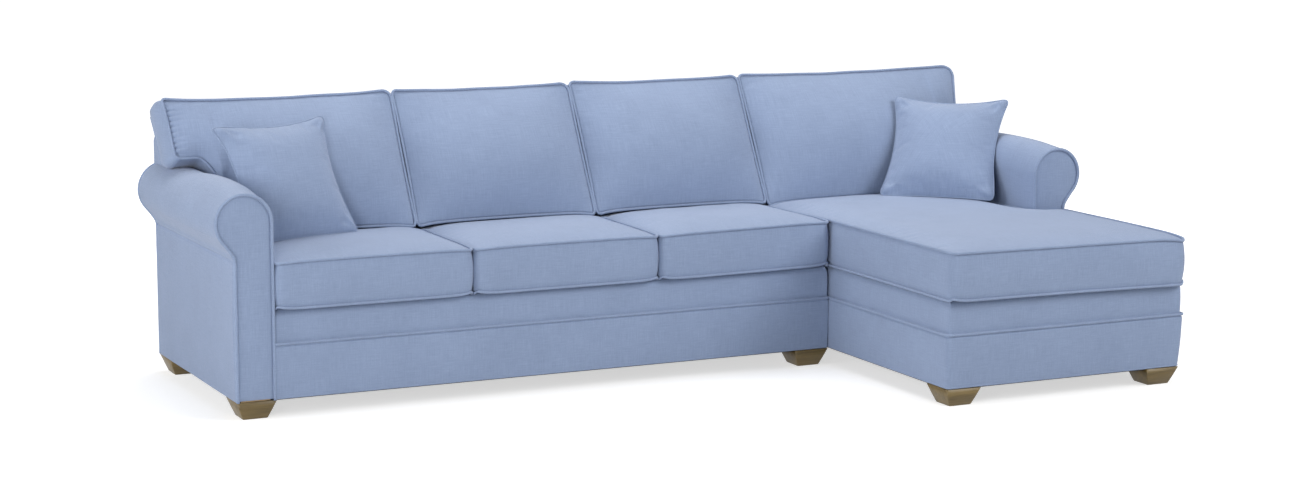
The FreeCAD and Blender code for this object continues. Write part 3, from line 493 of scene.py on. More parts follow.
def panel_grid(blocks, corner_radius, step=GRID_STEP, fine_above=None):
    """A flat panel that is the union of blocks (x0, x1, y0, y1), with rounded outer corners.

    corner_radius(x, y) gives the radius of the outer corner there. The result has the panel's
    points, their places before the corners were rounded, its quads, its outline in order, its
    straight sides, and how far each point lies from the outline.
    """
    xs = sorted({v for block in blocks for v in block[:2]})
    ys = sorted({v for block in blocks for v in block[2:]})

    def inside(x, y):
        return any(b[0] < x < b[1] and b[2] < y < b[3] for b in blocks)

    corners = []
    for x in xs:
        for y in ys:
            filled = [(sx, sy) for sx in (-1, 1) for sy in (-1, 1) if inside(x + sx * TINY, y + sy * TINY)]
            if len(filled) == 1:
                corners.append((x, y, -filled[0][0], -filled[0][1], corner_radius(x, y)))
    gx = grid_lines(sorted(set(xs) | {c[0] - c[2] * c[4] for c in corners}), step)
    y_breaks = sorted(set(ys) | {c[1] - c[3] * c[4] for c in corners})
    gy = grid_lines(y_breaks, step)
    if fine_above is not None:
        upper = grid_lines([y for y in y_breaks if y >= fine_above - TINY], EAR_STEP)
        gy = np.array([y for y in gy if y < fine_above - TINY] + list(upper))
    index, flat, quads = {}, [], []

    def vertex(i, j):
        if (i, j) not in index:
            index[i, j] = len(flat)
            flat.append((gx[i], gy[j]))
        return index[i, j]

    for i in range(len(gx) - 1):
        for j in range(len(gy) - 1):
            if inside((gx[i] + gx[i + 1]) / 2, (gy[j] + gy[j + 1]) / 2):
                quads.append((vertex(i, j), vertex(i + 1, j), vertex(i + 1, j + 1), vertex(i, j + 1)))
    edges = {(a, b) for quad in quads for a, b in zip(quad, quad[1:] + quad[:1])}
    follows = {a: b for a, b in edges if (b, a) not in edges}
    outline = [min(follows)]
    while follows[outline[-1]] != outline[0]:
        outline.append(follows[outline[-1]])
    flat = np.array(flat)
    sides = straight_sides(flat[outline])
    shaped = flat.copy()
    for x, y, sx, sy, radius in corners:
        a = (flat[:, 0] - (x - sx * radius)) * sx / radius
        b = (flat[:, 1] - (y - sy * radius)) * sy / radius
        near = (a > 0) & (b > 0) & (a <= 1 + TINY) & (b <= 1 + TINY)
        a, b = a[near], b[near]
        shaped[near, 0] = (x - sx * radius) + sx * radius * (a * np.sqrt(1 - b * b / 2))
        shaped[near, 1] = (y - sy * radius) + sy * radius * (b * np.sqrt(1 - a * a / 2))
    return dict(points=shaped, flat=flat, quads=quads, outline=outline, sides=sides, gx=gx, gy=gy,
                index=index, distance=np.min([side_distance(flat, side) for side in sides], axis=0))


def straight_sides(loop):
    """The straight sides of a loop of points whose sides run along the axes."""
    axis = np.abs(np.roll(loop, -1, axis=0) - loop).argmax(axis=1)
    turns = np.nonzero(axis != np.roll(axis, 1))[0]
    return [(loop[a], loop[b]) for a, b in zip(turns, np.roll(turns, -1))]


def side_distance(points, side):
    """How far points lie from a straight side."""
    start, end = side
    along = end - start
    length = np.hypot(*along)
    along = along / length
    nearest = start + np.clip((points - start) @ along, 0, length)[:, None] * along
    return np.hypot(*(points - nearest).T)


def swell(panel, reach):
    """How much of its full crown each point of a panel has: 0 at the outline, near 1 further in than reach."""
    gx, gy = panel["gx"], panel["gy"]
    cells = tuple(np.array(list(panel["index"])).T)
    value = np.zeros((len(gx), len(gy)))
    inner = np.zeros_like(value, bool)
    value[cells] = 1 - np.exp(-panel["distance"] / reach)
    inner[cells] = panel["distance"] > ON_EDGE
    west, east = np.diff(gx, prepend=gx[0] - 1)[:, None], np.diff(gx, append=gx[-1] + 1)[:, None]
    south, north = np.diff(gy, prepend=gy[0] - 1)[None, :], np.diff(gy, append=gy[-1] + 1)[None, :]
    cw, ce = 2 / (west * (west + east)), 2 / (east * (west + east))
    cs, cn = 2 / (south * (south + north)), 2 / (north * (south + north))
    pull = 1 / reach ** 2
    total = cw + ce + cs + cn + pull
    for _ in range(SWELL_ROUNDS):
        padded = np.pad(value, 1)
        fresh = (cw * padded[:-2, 1:-1] + ce * padded[2:, 1:-1]
                 + cs * padded[1:-1, :-2] + cn * padded[1:-1, 2:] + pull) / total
        value = np.where(inner, fresh, 0)
    return value[cells]


def puckers(panel, seed, strength, reach):
    """Small gathers that run square to the sides of a panel and die away from them."""
    flat = panel["flat"]
    result = np.zeros(len(flat))
    for number, (start, end) in enumerate(panel["sides"]):
        along = (end - start) / np.hypot(*(end - start))
        distance = side_distance(flat, (start, end))
        fade = np.exp(-distance / reach) * np.clip(distance / 0.004, 0, 1)
        for k in np.nonzero(fade > 0.02)[0]:
            s = float((flat[k] - start) @ along)
            patch = max(0.0, 0.25 + wave(s * 5.0, seed, number))
            ripple = wave(s * 62.0, seed * 3.1, number) + 0.5 * wave(s * 130.0, seed, number + 7)
            result[k] += strength * fade[k] * patch * ripple
    return result


def outward_normals(points):
    """Unit normals of a counter-clockwise loop, pointing out of it."""
    tangent = np.roll(points, -1, axis=0) - np.roll(points, 1, axis=0)
    tangent /= np.hypot(*tangent.T)[:, None]
    return np.stack([tangent[:, 1], -tangent[:, 0]], axis=1)


def tube(name, points, outs, ups, radius, body, closed=True, sides=8):
    """A round welt that follows points. outs and ups are unit vectors across it, or one up serves all."""
    verts = []
    count = len(points)
    if isinstance(ups, Vector):
        ups = [ups] * count
    for k, (point, out, up) in enumerate(zip(points, outs, ups)):
        size = radius * (1 + 0.06 * wave(k * 0.31, radius * 900))
        for s in range(sides):
            angle = 2 * math.pi * s / sides
            verts.append(point + out * (size * math.cos(angle)) + up * (size * math.sin(angle)))
    faces = strip_faces(count, sides, ring=True, loop=closed, flip=True)
    if not closed:
        faces += [tuple(range(sides)), tuple(reversed(range((count - 1) * sides, count * sides)))]
    middle = count // 2
    if (points[middle + 1] - points[middle]).dot(outs[middle].cross(ups[middle])) > 0:
        faces = reverse(faces)
    return new_piece(name, verts, faces, body)


def inflate(cushion, held, reach, fuller):
    """Blows a cushion up with a cloth simulation and keeps what it gives, no further than reach."""
    mesh = cushion.data
    start = read_points(mesh)
    group = cushion.vertex_groups.new(name="held")
    held_steps = np.round(held, 2)
    for weight in sorted(set(held_steps[held_steps > 0])):
        group.add([int(k) for k in np.nonzero(held_steps == weight)[0]], float(weight), "REPLACE")
    cloth = cushion.modifiers.new("cloth", "CLOTH")
    choices = dict(quality=4, mass=0.25, tension_stiffness=12, compression_stiffness=10, shear_stiffness=5,
                   bending_stiffness=2.5, vertex_group_mass="held", pin_stiffness=1.0, use_pressure=True,
                   uniform_pressure_force=CUSHION_PRESSURE, shrink_min=-fuller)
    for name, value in choices.items():
        setattr(cloth.settings, name, value)
    cloth.settings.effector_weights.gravity = 0
    cloth.collision_settings.use_collision = False
    scene = bpy.context.scene
    for step in range(1, CLOTH_FRAMES + 1):
        scene.frame_set(step)
    end = read_points(cushion.evaluated_get(bpy.context.evaluated_depsgraph_get()).data)
    cushion.modifiers.remove(cloth)
    cushion.vertex_groups.remove(group)
    scene.frame_set(1)
    moved = end - start
    length = np.linalg.norm(moved, axis=1)
    kept = reach * np.tanh(length / reach) / np.maximum(length, 1e-9)
    write_points(mesh, start + moved * kept[:, None] * (1 - held)[:, None])


def boxed_cushion(body, panel, front, rear, crown, back_crown, bulge, hold, reach, pressed):
    """A closed cushion: two panels and a boxing strip between them, with a welt round each panel.

    front and rear turn a panel's point and a height over the panel into the row frame. bulge
    gives how far the boxing stands out at an outline point with a given outward normal, and
    hold gives how firmly the boxing is held there while the cushion is blown up. pressed says
    how firmly each point of the front panel is held.
    """
    name = body + "_dressed"
    points, outline = panel["points"], panel["outline"]
    edge = [(k, points[k], normal) for k, normal in zip(outline, outward_normals(points[outline]))]
    count, loop = len(points), len(outline)
    verts = [front(p, h) for p, h in zip(points, crown)] + [rear(p, h) for p, h in zip(points, back_crown)]
    faces = two_faces(panel)
    held = [1.0 if d < ON_EDGE else 0.9 * share for d, share in zip(panel["distance"], pressed)] + [1.0] * count
    strips = [outline]
    for t in BOXING_ROWS[1:-1]:
        strips.append(range(len(verts), len(verts) + loop))
        groove = SEAM_GROOVE * math.exp(-(min(t, 1 - t) / 0.03) ** 2)
        for k, p, normal in edge:
            out = (front(p + normal, 0) - front(p, 0)).normalized()
            stands_out = bulge(p, normal) * (1 - (2 * t - 1) ** 2) - groove
            verts.append(verts[k].lerp(verts[count + k], t) + out * stands_out)
            held.append(hold(p, normal))
    strips.append([count + k for k in outline])
    for upper, lower in zip(strips, strips[1:]):
        for k in range(loop):
            n = (k + 1) % loop
            faces.append((upper[n], upper[k], lower[k], lower[n]))
    cushion = new_piece(name, verts, faces, body)
    inflate(cushion, np.array(held), reach, 0.002)
    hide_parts(body + "_cover", body + "_core")
    for which, side in (("front", front), ("rear", rear)):
        bases = [side(p, 0) for _, p, _ in edge]
        outs = [(side(p + normal, 0) - base).normalized() for (_, p, normal), base in zip(edge, bases)]
        ups = [(side(p, 1) - base).normalized() for (_, p, _), base in zip(edge, bases)]
        centre = [base + out * (WELT_RADIUS * 0.50) + up * (WELT_RADIUS * 0.35)
                  for base, out, up in zip(bases, outs, ups)]
        tube(name + "_welt_" + which, centre, outs, ups, WELT_RADIUS, body)


def slab(name, node, section, panel, upper, lower):
    """A thin closed pad that stands for a node: the two faces of a panel and the wall between them."""
    count, outline = len(upper), panel["outline"]
    walls = [(b, a, count + a, count + b) for a, b in zip(outline, outline[1:] + outline[:1])]
    pad = new_piece(name, upper + lower, two_faces(panel) + walls, section + "_section")
    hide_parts(node)


def pull_sides_in(panel, amount, reach=0.09):
    """Draws the long straight sides in between their corners, and the cloth beside them."""
    for start, end in panel["sides"]:
        length = np.hypot(*(end - start))
        if length < LONG_SIDE:
            continue
        along = (end - start) / length
        t = np.clip((panel["flat"] - start) @ along / length, 0, 1)
        fade = np.exp(-side_distance(panel["flat"], (start, end)) / reach)
        inward = np.array([-along[1], along[0]])
        panel["points"] += inward * (amount * (1 - (2 * t - 1) ** 2) * fade)[:, None]


def groove_inside(panel):
    """The dip of a panel just inside its welt."""
    return -SEAM_GROOVE * np.exp(-((panel["distance"] - 0.0045) / 0.003) ** 2) * (panel["distance"] > ON_EDGE)


def cloudiness(panel, seed, size):
    """Slow unevenness of the stuffing."""
    return np.array([size * wave(p[0] * 4.2, p[1] * 4.2, seed) + 0.45 * size * wave(p[0] * 11, p[1] * 11, seed + 3)
                     for p in panel["flat"]])


def dome(panel, power, share):
    """The long crown of a panel over its whole length and width: 1 in the middle, less towards the sides."""
    flat = panel["flat"]
    low, high = flat.min(axis=0), flat.max(axis=0)
    u, v = np.abs((flat - (low + high) / 2) / ((high - low) / 2)).T
    return (1 - share * u ** power) * (1 - share * v ** power)


# Seat cushions

seat_tops = []


def seat_top(x, y):
    """Height of the seat cushions' tops over a place, given from the left arm's corner."""
    for points, heights in seat_tops:
        distance = np.hypot(points[:, 0] - x, points[:, 1] - y)
        nearest = int(distance.argmin())
        if distance[nearest] < 2 * GRID_STEP:
            return SEAT_WELT_TOP + heights[nearest]
    return SEAT_WELT_TOP


def seat_cushion(body, blocks, seed, front_y):
    """A boxed seat cushion that lies flat on the deck, with a crowned top that falls towards its front."""
    on_chaise = body == "chaise_cushion"
    beside_joint = on_chaise or body == "seat_cushion_%d" % SEAT_COUNT

    def corner(x, y):
        return SEAT_REAR_CORNER if y > front_y + 0.01 else CHAISE_CORNER if x > JOINT_X + 0.1 else SEAT_CORNER

    panel = panel_grid(blocks, corner)
    pull_sides_in(panel, SEAT_DRAW)
    flat = panel["flat"]
    if on_chaise:
        panel["points"][:, 0] += [0.7 * side_flare(x, y, BAND_SPLIT) for x, y in flat]
    rise = swell(panel, SEAT_SHOULDER)
    share, distance = SEAT_FALLS[on_chaise]
    from_front = np.clip((flat[:, 1] - front_y) / distance, 0, 1)
    falls = 1 - share + share * from_front * (2 - from_front)
    under_back = np.array([eased((y - 0.40) / 0.09) for y in flat[:, 1]])
    crown = SEAT_CROWN * rise * dome(panel, 2.4, 0.10) / rise.max() * falls * (1 - 0.58 * under_back)
    crown += rise * cloudiness(panel, seed, SEAT_CLOUD) + puckers(panel, seed, *SEAT_PUCKERS) + groove_inside(panel)
    seat_tops.append((flat, crown))
    x_low, x_high = min(b[0] for b in blocks), max(b[1] for b in blocks)

    def near_corner(p, reach):
        """1 at the free front corners, fading away from them."""
        return math.exp(-min(math.hypot(p[0] - x, p[1] - front_y) for x in (x_low, x_high)) / reach)

    def across(p):
        return limited((p[0] - x_low) / (x_high - x_low))

    def joint_lift(p):
        """How much a cushion beside the joint of the two sections is lifted there, ahead of the backs."""
        if not beside_joint:
            return 0.0
        share = 1 - across(p) if on_chaise else across(p)
        return JOINT_LIFT * share ** 2 * (1 - eased((p[1] - SEAT_FRONT) / 0.45))

    def top(p, h):
        beside = min(abs(p[0] - x_low), abs(p[0] - x_high))
        pressed = 0.007 * eased((p[1] - 0.41) / 0.06) * math.exp(-beside / 0.030)
        drop = 0.002 + 0.012 * across(p) if on_chaise else 0.006
        return place(p[0], p[1], SEAT_WELT_TOP + h + joint_lift(p) - drop * near_corner(p, 0.045) - pressed)

    def bottom(p, h):
        overhang = eased((front_y + 0.016 - p[1]) / 0.010)
        lifted = 0.012 * near_corner(p, 0.022)
        if on_chaise:
            lifted = lifted * (1 - across(p)) - 0.009 * across(p) ** 2
        else:
            lifted += 0.8 * joint_lift(p)
        return place(p[0], p[1], SEAT_BOTTOM - h + lifted * overhang)

    def free(p):
        """Whether a place on the outline has nothing beside it."""
        return p[1] < front_y + 0.02 or (on_chaise and p[1] < SEAT_FRONT)

    def bulge(p, normal):
        size = 0.0075 if free(p) else 0.003 if abs(normal[1]) > 0.5 else 0.0035
        return size * (1 + 0.25 * wave(p[0] * 9, p[1] * 9, seed))

    def hold(p, normal):
        return 0.3 if free(p) else 0.9

    boxed_cushion(body, panel, top, bottom, crown, -0.001 * rise, bulge, hold, SEAT_REACH, under_back)


def make_seat_cushions():
    """The three seat cushions of the sofa section and the long one of the chaise."""
    rear = SEAT_REAR - 0.006
    for number in range(SEAT_COUNT):
        x0 = ARM_WIDTH + number * SEAT_WIDTH + SIDE_CLEARANCE + SEAT_SHIFTS[number]
        x1 = ARM_WIDTH + (number + 1) * SEAT_WIDTH - SIDE_CLEARANCE + SEAT_SHIFTS[number + 1]
        seat_cushion("seat_cushion_%d" % (number + 1), [(x0, x1, SEAT_FRONT, rear)], number + 1.0, SEAT_FRONT)
    x0 = CHAISE_X + SIDE_CLEARANCE
    step = -RIGHT_ARM_REACH - SIDE_CLEARANCE
    blocks = [(x0, RIGHT_X - 0.001, CHAISE_CUSHION_FRONT, step), (x0, RIGHT_ARM_X - SIDE_CLEARANCE, step, rear)]
    seat_cushion("chaise_cushion", blocks, 9.0, CHAISE_CUSHION_FRONT)


# Back cushions

def back_plane_y(z):
    """Depth of the plane that the back cushions lean on."""
    return SEAT_REAR + (z - SEAT_BOTTOM) * math.tan(LEAN)


def ear_edge(x, foot_z, squeeze):
    """How far up the lean the ear's lower seam lies at x, following the roll of the arm below it."""
    from_outer = x if x < RIGHT_X / 2 else RIGHT_X - x
    aside = min(max(0.0, from_outer - ROLL_CENTRE_X), ROLL_RADIUS)
    roll_z = ROLL_CENTRE_Z + math.sqrt(ROLL_RADIUS ** 2 - aside ** 2)
    roll_z += ARM_FULLNESS * roll_top(aside / ROLL_RADIUS, (roll_z - ROLL_CENTRE_Z) / ROLL_RADIUS)
    lifted = foot_z + (roll_z + 0.003 - foot_z) / squeeze
    return (min(EAR_FRONT_Z, lifted) - foot_z) / math.cos(LEAN)


def drop_ear(panel, foot_z, squeeze, length, ear, inner_x, side):
    """Brings the ear's lower seam down along the roll of the arm, and the cloth round it."""
    for point, (x, s) in zip(panel["points"], panel["flat"]):
        beyond = (x - inner_x) * side
        reach = ear_edge(x if beyond > 0 else inner_x, foot_z, squeeze)
        fade = 1.0 if beyond > 0 else max(0.0, 1 + beyond / 0.16) ** 2
        share = s / ear if s < ear else (length - s) / (length - ear)
        point[1] -= (ear - reach) * share * fade


def ear_gathers(flat, x_low, ear, seed):
    """The row of short gathers beside the outer seam of the left ear."""
    result = np.zeros(len(flat))
    for k, (x, s) in enumerate(flat):
        distance = x - x_low
        if distance > 0.08 or s < ear + 0.015:
            continue
        fade = math.exp(-distance / 0.018) * min(1.0, distance / 0.004)
        turn = 2 * math.pi * s / GATHER_SPACING + 1.6 * wave(s * 14, seed)
        result[k] = fade * (0.005 - 0.016 * max(0.0, math.sin(turn)) ** 2) * (0.85 + 0.5 * wave(s * 20, seed + 2))
    return result


def back_cushion(number):
    """A boxed back cushion: a full front panel, a flatter rear one and boxing between them."""
    first, last = number == 1, number > SEAT_COUNT
    seed = 20.0 + number
    foot_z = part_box("back_cushion_%d_cover" % max(number, 2))[0].z + 0.001 - BACK_CUSHION_SAG
    length = (BACK_CUSHION_TOP - foot_z) / math.cos(LEAN)
    squeeze = 1 - BACK_CUSHION_THICKNESS * math.tan(LEAN) / length
    ear = (EAR_FRONT_Z - foot_z) / math.cos(LEAN)
    x0 = ARM_WIDTH + (number - 1) * SEAT_WIDTH + SIDE_CLEARANCE + BACK_SHIFTS[number - 1]
    x1 = ARM_WIDTH + number * SEAT_WIDTH - SIDE_CLEARANCE + BACK_SHIFTS[number]
    if last:
        x0, x1 = CHAISE_X + SIDE_CLEARANCE, RIGHT_ARM_X - SIDE_CLEARANCE
    x_low, x_high = -EAR_OVERHANG if first else x0, RIGHT_X + EAR_OVERHANG if last else x1
    blocks = [(x0, x1, 0, length)]
    blocks += [(x_low, x0, ear, length)] * first + [(x1, x_high, ear, length)] * last

    def corner(x, y):
        return 0.018 if y < length - 0.01 else BACK_CORNERS[number][x >= (x_low + x_high) / 2]

    panel = panel_grid(blocks, corner, fine_above=ear if first else None)
    pull_sides_in(panel, BACK_DRAW)
    flat = panel["flat"]
    if first:
        drop_ear(panel, foot_z, squeeze, length, ear, x0, -1)
    if last:
        drop_ear(panel, foot_z, squeeze, length, ear, x1, 1)
    for point, (x, s) in zip(panel["points"], flat):
        across = (2 * x - x_low - x_high) / (x_high - x_low)
        up = s / length
        point[1] += (0.0035 * wave(x * 5.5, seed, 2.0) + 0.006 * across ** 4 - 0.003) * up ** 3
        point[1] -= 0.011 * across ** 8 * max(0.0, 1 - up) ** 8
        if first:
            point += np.array((-0.014, 0.005)) * (max(0.0, -across) ** 6 * up ** 4)
        if last:
            point[0] -= 0.105 * max(0.0, across) ** 6 * (1 - up)
    rise = swell(panel, BACK_SHOULDER)
    rise /= rise.max()
    up = flat[:, 1] / length
    rounded = (1 - 0.42 * (2 * np.abs(up - 0.44)) ** 1.8) * (1 + FOOT_FULLNESS * np.exp(-up / 0.12))
    crown = BACK_CUSHION_BELLY * rise * dome(panel, 2.4, 0.16) * rounded
    crown += rise * cloudiness(panel, seed, BACK_CLOUD) + puckers(panel, seed, *BACK_PUCKERS) + groove_inside(panel)
    if first:
        crown += ear_gathers(flat, x_low, ear, seed)
    back_crown = 0.017 * swell(panel, 0.05) * np.clip((up - 0.66) / 0.2, 0, 1) ** 1.5
    foot_rear = place(0, back_plane_y(foot_z), foot_z)
    foot_front = foot_rear - Vector((0, BACK_CUSHION_THICKNESS / math.cos(LEAN), 0))

    def front(p, h):
        return foot_front + Vector((p[0], 0, 0)) + UP_BACK * p[1] + FORWARD * (h + FOOT_FORWARD * (1 - p[1] / length))

    def rear(p, h):
        return foot_rear + Vector((p[0], 0, 0)) + UP_BACK * (p[1] * squeeze) + FORWARD * (0.0022 - h)

    def free(p):
        return p[0] < ARM_WIDTH / 2 or p[0] > RIGHT_X - ARM_WIDTH / 2

    def bulge(p, normal):
        side = 0.020 if free(p) else 0.0035
        over_arm = p[0] < ARM_WIDTH or p[0] > RIGHT_ARM_X
        below = 0.017 * max(0.0, -normal[1]) if over_arm else 0.0
        return side * abs(normal[0]) + 0.008 * max(0.0, normal[1]) * p[1] / length + below + 0.0005

    def hold(p, normal):
        return 0.4 if free(p) or normal[1] > 0.6 else 0.9

    boxed_cushion("back_cushion_%d" % number, panel, front, rear, crown, back_crown, bulge, hold, BACK_REACH,
                  np.zeros(len(flat)))


# Throw pillows

def throw_pillow(name, spot, arm_x, arm_inward, seed, tip=(0.0, 0.0)):
    """A knife-edge pillow: two domed panels that meet in a seam, with drawn-in sides and pointed corners."""
    half = PILLOW_SIDE / 2 + 0.004
    panel = panel_grid([(-half, half, -half, half)], lambda x, y: PILLOW_CORNER, PILLOW_STEP)
    points, outline = panel["points"], panel["outline"]
    u, v = panel["flat"].T / half
    points[:, 0] -= PILLOW_DRAW * u * (1 - v ** 2)
    points[:, 1] -= PILLOW_DRAW * v * (1 - u ** 2) * (0.62 + 0.38 * v)
    points += (np.clip(-u, 0, 1) ** 4 * np.clip(v, 0, 1) ** 4)[:, None] * np.array(tip)
    rise = swell(panel, PILLOW_SHOULDER)
    rise /= rise.max()
    wide, narrow = np.maximum(np.abs(u), np.abs(v)), np.minimum(np.abs(u), np.abs(v))
    shape = rise * (1 - 0.35 * wide ** 2.4 * narrow ** 2) * (1 + 0.22 * np.exp(-(v + 1) / 0.5))
    from_u, from_v = half * (1 - np.abs(u)), half * (1 - np.abs(v))
    plump = 0.0095 * np.exp(-(np.hypot(from_u - 0.022, from_v - 0.022) / 0.020) ** 2)
    fan = np.sin(9 * np.arctan2(from_u, from_v) + 3 * np.sign(u) + seed)
    plump += 0.0026 * fan * np.exp(-((np.hypot(from_u, from_v) - 0.052) / 0.026) ** 2)
    full = PILLOW_THICKNESS / 2 * shape + plump * np.clip(panel["distance"] / 0.008, 0, 1)
    front_h = full + puckers(panel, seed, *PILLOW_PUCKERS) + rise * cloudiness(panel, seed, PILLOW_CLOUD)
    rear_h = full + puckers(panel, seed + 5, *PILLOW_PUCKERS)
    turn, lean = math.radians(spot["turn"]), math.radians(spot["lean"])
    tilt = Matrix.Rotation(turn, 4, "Z") @ Matrix.Rotation(-lean, 4, "X")
    middle = place(spot["x"], spot["y"], spot["z"])
    slope = math.atan(math.sin(abs(turn)) * math.tan(lean))
    roll_axis = place(arm_x + arm_inward * ROLL_CENTRE_X, 0, ROLL_CENTRE_Z)
    off_arm = Vector((arm_inward * math.cos(slope), 0, math.sin(slope)))

    def seat_below(point):
        return seat_top(point.x - CORNER.x, point.y - CORNER.y)

    def settled(x, depth, z):
        """A point of the pillow, pressed off the arm and the seat."""
        point = middle + tilt @ Vector((x, depth, z))
        depth = ROLL_RADIUS + 0.004 - (point - roll_axis).dot(off_arm)
        over_roll = point.z - ROLL_TOP
        if depth > 0 and over_roll < 0.10:
            point = point + off_arm * depth * limited(1 - over_roll / 0.10)
        if point.z < SEAT_WELT_TOP + SEAT_CROWN + 0.03:
            rest_z = seat_below(point) + SEAT_SWELLING
            if point.z < rest_z + 0.006:
                point.z = rest_z + 0.006 * math.exp((point.z - rest_z - 0.006) / 0.006)
        return point

    verts = [settled(p[0], -h, p[1]) for p, h in zip(points, front_h)]
    sewn = {k: k for k in outline}
    for k, (p, h) in enumerate(zip(points, rear_h)):
        if k not in sewn:
            sewn[k] = len(verts)
            verts.append(settled(p[0], h, p[1]))
    faces = panel["quads"] + [tuple(sewn[k] for k in reversed(quad)) for quad in panel["quads"]]
    edge = set(outline)
    seam = [verts[k] for k in outline]
    pillow = new_piece(name + "_dressed", verts, faces, name)
    held = [k in edge or seat_below(p) + 0.03 > p.z or ROLL_RADIUS + 0.03 > (p - roll_axis).dot(off_arm)
            for k, p in enumerate(verts)]
    inflate(pillow, np.array(held, float), PILLOW_REACH, 0.008)
    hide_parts(name + "_cover", name + "_insert")
    outs = [(tilt @ Vector((n[0], 0, n[1]))).normalized() for n in outward_normals(points[outline])]
    tube(name + "_edge", seam, outs, (tilt @ Vector((0, -1, 0))).normalized(), PILLOW_EDGE, name, sides=6)


# Rolled arms

def arm_outline(inset):
    """The arm's outline (x from its outer side, z), anticlockwise from its inner bottom corner."""
    low = BASE_BOTTOM + inset
    radius = ROLL_RADIUS - inset
    points = [(ARM_WIDTH - inset, z) for z in np.linspace(low, ROLL_CENTRE_Z, 56)]
    for angle in np.linspace(0, ROLL_SWEEP, 76)[1:]:
        points.append((ROLL_CENTRE_X + radius * math.cos(angle), ROLL_CENTRE_Z + radius * math.sin(angle)))
    end_x, end_z = points[-1]
    throat_z = end_z - (inset - end_x) / math.tan(ROLL_SWEEP)
    points += [(end_x + (inset - end_x) * t, end_z + (throat_z - end_z) * t) for t in (0.2, 0.4, 0.6, 0.8)]
    seam = [SIDE_SEAM_Z + above for above in (0.010, 0.006, 0.003, 0, -0.003, -0.006)]
    points += [(inset, z) for z in (throat_z, *seam, *np.linspace(SIDE_SEAM_Z - 0.012, low, 46))]
    points += [(x, low) for x in np.linspace(inset, ARM_WIDTH - inset, 14)[1:-1]]
    for _ in range(10):
        softer = list(points)
        for k, (x, z) in enumerate(points):
            if x < ROLL_CENTRE_X and SIDE_SEAM_Z + 0.001 < z < throat_z + 0.03:
                before, after = points[k - 1], points[k + 1]
                softer[k] = ((before[0] + 2 * x + after[0]) / 4, (before[1] + 2 * z + after[1]) / 4)
        points = softer
    return points, throat_z


def roll_top(inward, up):
    """How much of the roll's extra fullness a place has whose outward normal is given."""
    return max(0.0, 0.25 * inward + 0.97 * up) ** 3


def star_panel(name, outline, centre, to_frame, crown, reach, body, seed):
    """A padded panel with any outline that its centre sees all of."""
    loop, middle = np.array(outline), np.array(centre)
    verts = []
    for k in range(STAR_RINGS):
        ring = loop + (middle - loop) * (1 - (1 - k / STAR_RINGS) ** 1.6)
        distance = np.full(len(ring), 9.0)
        for a, b in zip(loop, np.roll(loop, -1, axis=0)):
            span = b - a
            t = np.clip(((ring - a) @ span) / max(span @ span, 1e-12), 0, 1)
            distance = np.minimum(distance, np.hypot(*(ring - a - t[:, None] * span).T))
        for p, d in zip(ring, distance):
            h = crown * (1 - math.exp(-d / reach)) * (1 + 0.12 * wave(p[0] * 14, p[1] * 14, seed))
            verts.append(to_frame(p, h))
    count = len(loop)
    last = len(verts) - count
    faces = strip_faces(STAR_RINGS, count, ring=True)
    faces += [(last + k, last + (k + 1) % count, len(verts)) for k in range(count)]
    verts.append(to_frame(middle, crown))
    return new_piece(name, verts, faces, body)


